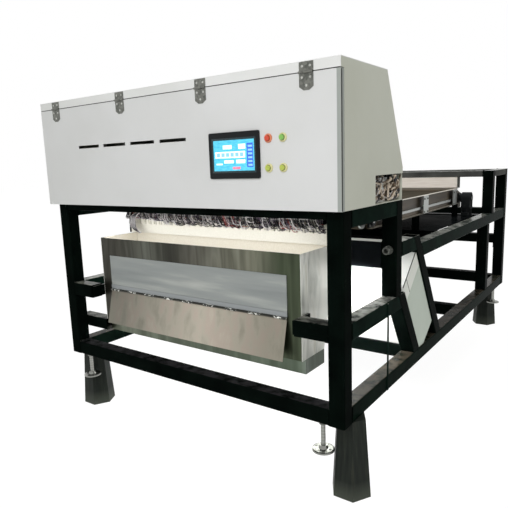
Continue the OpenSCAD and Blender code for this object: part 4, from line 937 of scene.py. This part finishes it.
def cover_film():
    """The creased film on the cover panel, a grid pushed out by soft folds that fade at its edges."""
    bm = bmesh.new()
    grid = []
    for j in range(FILM_UP + 1):
        row = []
        for i in range(FILM_ACROSS + 1):
            u, v = i / FILM_ACROSS, j / FILM_UP
            x = -FLAP_HALF + 4 + u * FILM_W
            z = FILM_FOOT + v * FILM_H
            fold = noise.noise(Vector((x / 260, z / 34, 0.3)))
            fold += 0.5 * noise.noise(Vector((x / 70, z / 22, 4.1)))
            edge = min(1.0, 6 * min(u, 1 - u, v, 1 - v))
            row.append(bm.verts.new(at(x, PANEL_Y - 0.25 - edge * max(0.0, 0.9 + 1.1 * fold), z)))
        grid.append(row)
    for j in range(FILM_UP):
        for i in range(FILM_ACROSS):
            bm.faces.new((grid[j][i], grid[j][i + 1], grid[j + 1][i + 1], grid[j + 1][i]))
    piece("cover_film", bm, panel_film, "frame", smooth=80)


# Fasteners and welds

HEX_HEAD = [(9.2, 0), (9.2, 5.2), (8.2, 6.4), (1.0, 6.4)]
WASHER = [(12.0, 0), (12.0, 1.6), (11.4, 2.0), (1.0, 2.0)]
WASHER_T = 2.0
# Bearings: depth of the shaft, and how far their face stands out from the web's inner face
BEARINGS = [(HEAD_Y, 14), (TAIL_Y, 22)]
BEARING_BOLT, STRAP_BOLT = 29, 30
STRAP_BOLT_Z = (-72, -160)
ARM_BOLT_Y, ARM_BOLT_Z = (80, 165), (-523, -557)
BANK_BOLT_Z = (-112, -186)


def bolt(bm, place, axis, scale):
    """A hexagon head on its washer."""
    lathe(bm, [(r * scale, h * scale) for r, h in WASHER], place, axis, 24)
    lathe(bm, [(r * scale, (h + WASHER_T) * scale) for r, h in HEX_HEAD], place, axis, 6)


def frame_bolts():
    """Bolts of the drum bearings, the straps, the chute's arms and the ends of the ejector bank."""
    bm = bmesh.new()
    for side in (-1, 1):
        out = (side, 0, 0)
        for y, off in BEARINGS:
            for dy in (-BEARING_BOLT, BEARING_BOLT):
                for dz in (-BEARING_BOLT, BEARING_BOLT):
                    bolt(bm, at(side * (WEB_X + off), y + dy, DRUM_Z + dz), out, 0.55)
        for y in STRAP_Y:
            for dy in (-STRAP_BOLT, STRAP_BOLT):
                for z in STRAP_BOLT_Z:
                    bolt(bm, at(side * STRAP_X, y + dy, z), out, 0.6)
        for y in ARM_BOLT_Y:
            for z in ARM_BOLT_Z:
                bolt(bm, at(side * ARM_X, y, z), out, 0.8)
    for z in BANK_BOLT_Z:
        bolt(bm, at(-EJECTOR_X, EJECTOR_FRONT + 8, z), (-1, 0, 0), 0.6)
        bolt(bm, at(SUPPLY_X, EJECTOR_FRONT + 20, z), (1, 0, 0), 0.6)
    piece("frame_bolts", bm, zinc, "frame")


WELD_RADIUS = 2.6
WELD_STEPS, WELD_RIPPLES, RIPPLE_H = 44, 11, 0.7
# Ends of rails along the depth and across the width: depth and height of the middle, height of the tube
WELDS_ALONG = [(129, -40, 80), (640, -40, 80), (129, -540, 80), (129, -929, 80), (3233, -929, 80),
               (3233, -310, 80), (720, -260, 80)]
WELDS_ACROSS = [(89, -540, 80), (89, -929, 80), (89, -20, 40), (3273, -929, 80), (3273, -590, 80),
                (3273, 55, 50), (2786, 55, 50), (680, -285, 140)]


def weld_ring(x, y, z, across, h):
    """Places round the end of a tube that runs across the width or along the depth."""
    ring = []
    for i in range(WELD_STEPS):
        angle = 2 * math.pi * i / WELD_STEPS
        c, s = math.cos(angle), math.sin(angle)
        flat = max(abs(c), abs(s))
        a, b = c / flat * TUBE / 2, s / flat * h / 2
        ripple = RIPPLE_H * math.sin(WELD_RIPPLES * angle)
        ring.append(at(x + ripple, y + a, z + b) if across else at(x + a, y + ripple, z + b))
    return ring


def welds():
    """Rippled beads round the ends of the frame's rails."""
    runs = []
    for side in (-1, 1):
        runs += [weld_ring(side * POST_X, y, z, False, h) for y, z, h in WELDS_ALONG]
        runs += [weld_ring(side * INNER_X, y, z, True, h) for y, z, h in WELDS_ACROSS]
    strands("weld_beads", runs, WELD_RADIUS, enamel, "frame", smooth=False, closed=True)


# Lower optical box

# Rear and front ends of the sloping top edges, as depth and height
HOOD_TOP = [(951, -314), (764, -480)]
CAP_TOP = [(1002, -394), (815, -560)]
STRIP_T = 1.6
# How far up the slope the joint across the side lies
JOINT_SHARE = 0.24


def box_seams():
    """The dark sealing strip along each end of the hood's slope, and the joint across its side."""
    (ry, rz), (fy, fz) = HOOD_TOP
    (cy, cz), (by, bz) = CAP_TOP
    edge = Vector((0, ry - fy, rz - fz)).normalized()
    out = Vector((0, -edge.z, edge.y)) * STRIP_T
    a = Vector((0, fy + JOINT_SHARE * (ry - fy), fz + JOINT_SHARE * (rz - fz)))
    b = Vector((0, by + JOINT_SHARE * (cy - by), bz + JOINT_SHARE * (cz - bz)))
    across = edge * STRIP_T
    seal = [(fy, fz), (ry, rz), (ry + out.y, rz + out.z), (fy + out.y, fz + out.z)]
    joint = [(p.y, p.z) for p in (a - across, a + across, b + across, b - across)]
    bm = bmesh.new()
    for side in (-1, 1):
        extrude_outline(bm, seal, *sorted((side * (BOX_X - 5), side * (BOX_X - 0.5))))
        extrude_outline(bm, joint, *sorted((side * BOX_X, side * (BOX_X + 0.8))))
    piece("hood_seams", bm, seal_rubber, "frame")


# Service fittings behind the right cut-out

# The bay's bounds, and how many of its looms spread over all of it rather than crowd its rear
BAY_X, BAY_Y, BAY_Z = (940, 990), (340, 659), (8, 124)
BAY_LOOMS, BAY_SPREAD, BAY_BENDS = 92, 64, 5
BAY_TINTS = ["cream", "brown", "black", "cream", "brown", "black", "white", "brown"]
BOWL = [(6, 3.4), (24, 3.6), (28.4, 9), (28.4, 58), (26, 64), (20, 67)]
BOWL_PITCH, TERMINAL_PITCH = 66, 11.5


def within(bounds, value):
    """The value, kept between two bounds."""
    return min(bounds[1], max(bounds[0], value))


def service_lines():
    """A crowded bay of sleeved looms, filter bowls and terminals."""
    draw = random.Random(5)
    tints = {"brown": loom_brown, "black": LEADS["black"], "cream": loom_cream, "white": LEADS["white"]}
    runs = {t: [] for t in tints}
    for k in range(BAY_LOOMS):
        spread = k < BAY_SPREAD
        y = draw.uniform(345, 640) if spread else draw.uniform(590, 655)
        z = draw.uniform(14, 118)
        x = 945 + draw.uniform(0, 34) if spread else 982
        run = []
        for _ in range(BAY_BENDS):
            run.append(at(x, y, z))
            y = within(BAY_Y, y + draw.uniform(-42, 46))
            z = within(BAY_Z, z + draw.uniform(-40, 38))
            x = within(BAY_X, x + draw.uniform(-12, 14))
        runs[BAY_TINTS[k % len(BAY_TINTS)]].append(run)
    for t in runs:
        strands("service_lines_" + t, runs[t], 5.0 if t == "cream" else 3.6, tints[t], "frame")
    x = BAY_X[0]
    bm = bmesh.new()
    for i in range(3):
        lathe(bm, BOWL, at(x, 333 + (i + 0.7) * BOWL_PITCH, 0), UP, 36)
    piece("filter_bowls", bm, bowl_plastic, "frame")
    bm = bmesh.new()
    for i in range(4):
        y = 613 + TERMINAL_PITCH * i
        slab(bm, (x + 27, y, 22), (x + 33, y + 9, 116), 1.0)
    piece("terminal_strip", bm, terminal_green, "frame")


# Rubber strips

TRIM_T = 1.2
# Strips: piece, body, finish, slot, softened edge, and blocks between two corners
STRIPS = [
    ("door_edge_trim", "door", seal_rubber, "black_plastic", 0.4,
     [((x, 1.5, 2), (x + TRIM_T, 9.5, DOOR_TOP)) for x in (-HALF_W - TRIM_T, HALF_W)]),
    ("lid_seal", "frame", seal_rubber, "black_plastic", 0.3,
     [((-HALF_W + 3, -0.4, 555.6), (HALF_W - 3, 1.2, 559))]),
    ("feed_skirt", "frame", skirt_rubber, "feed_sheet", 0.6,
     [((-696, 2600.6, -86), (696, 2603.8, -66))]),
]


def rubber_strips():
    """The trim along the door's folded edges, the lid's seal, and the skirt under the feed plate."""
    for name, body, finish, slot, soft, blocks in STRIPS:
        bm = bmesh.new()
        for low, high in blocks:
            slab(bm, low, high, soft)
        piece(name, bm, finish, body)


set_camera()
set_light(studio_floor())
dress_solids()
hinge_screws()
screen_page()
button_rings()
valve_wires()
end_coils()
supply_block()
chute_liner()
cover_film()
frame_bolts()
welds()
service_lines()
box_seams()
rubber_strips()
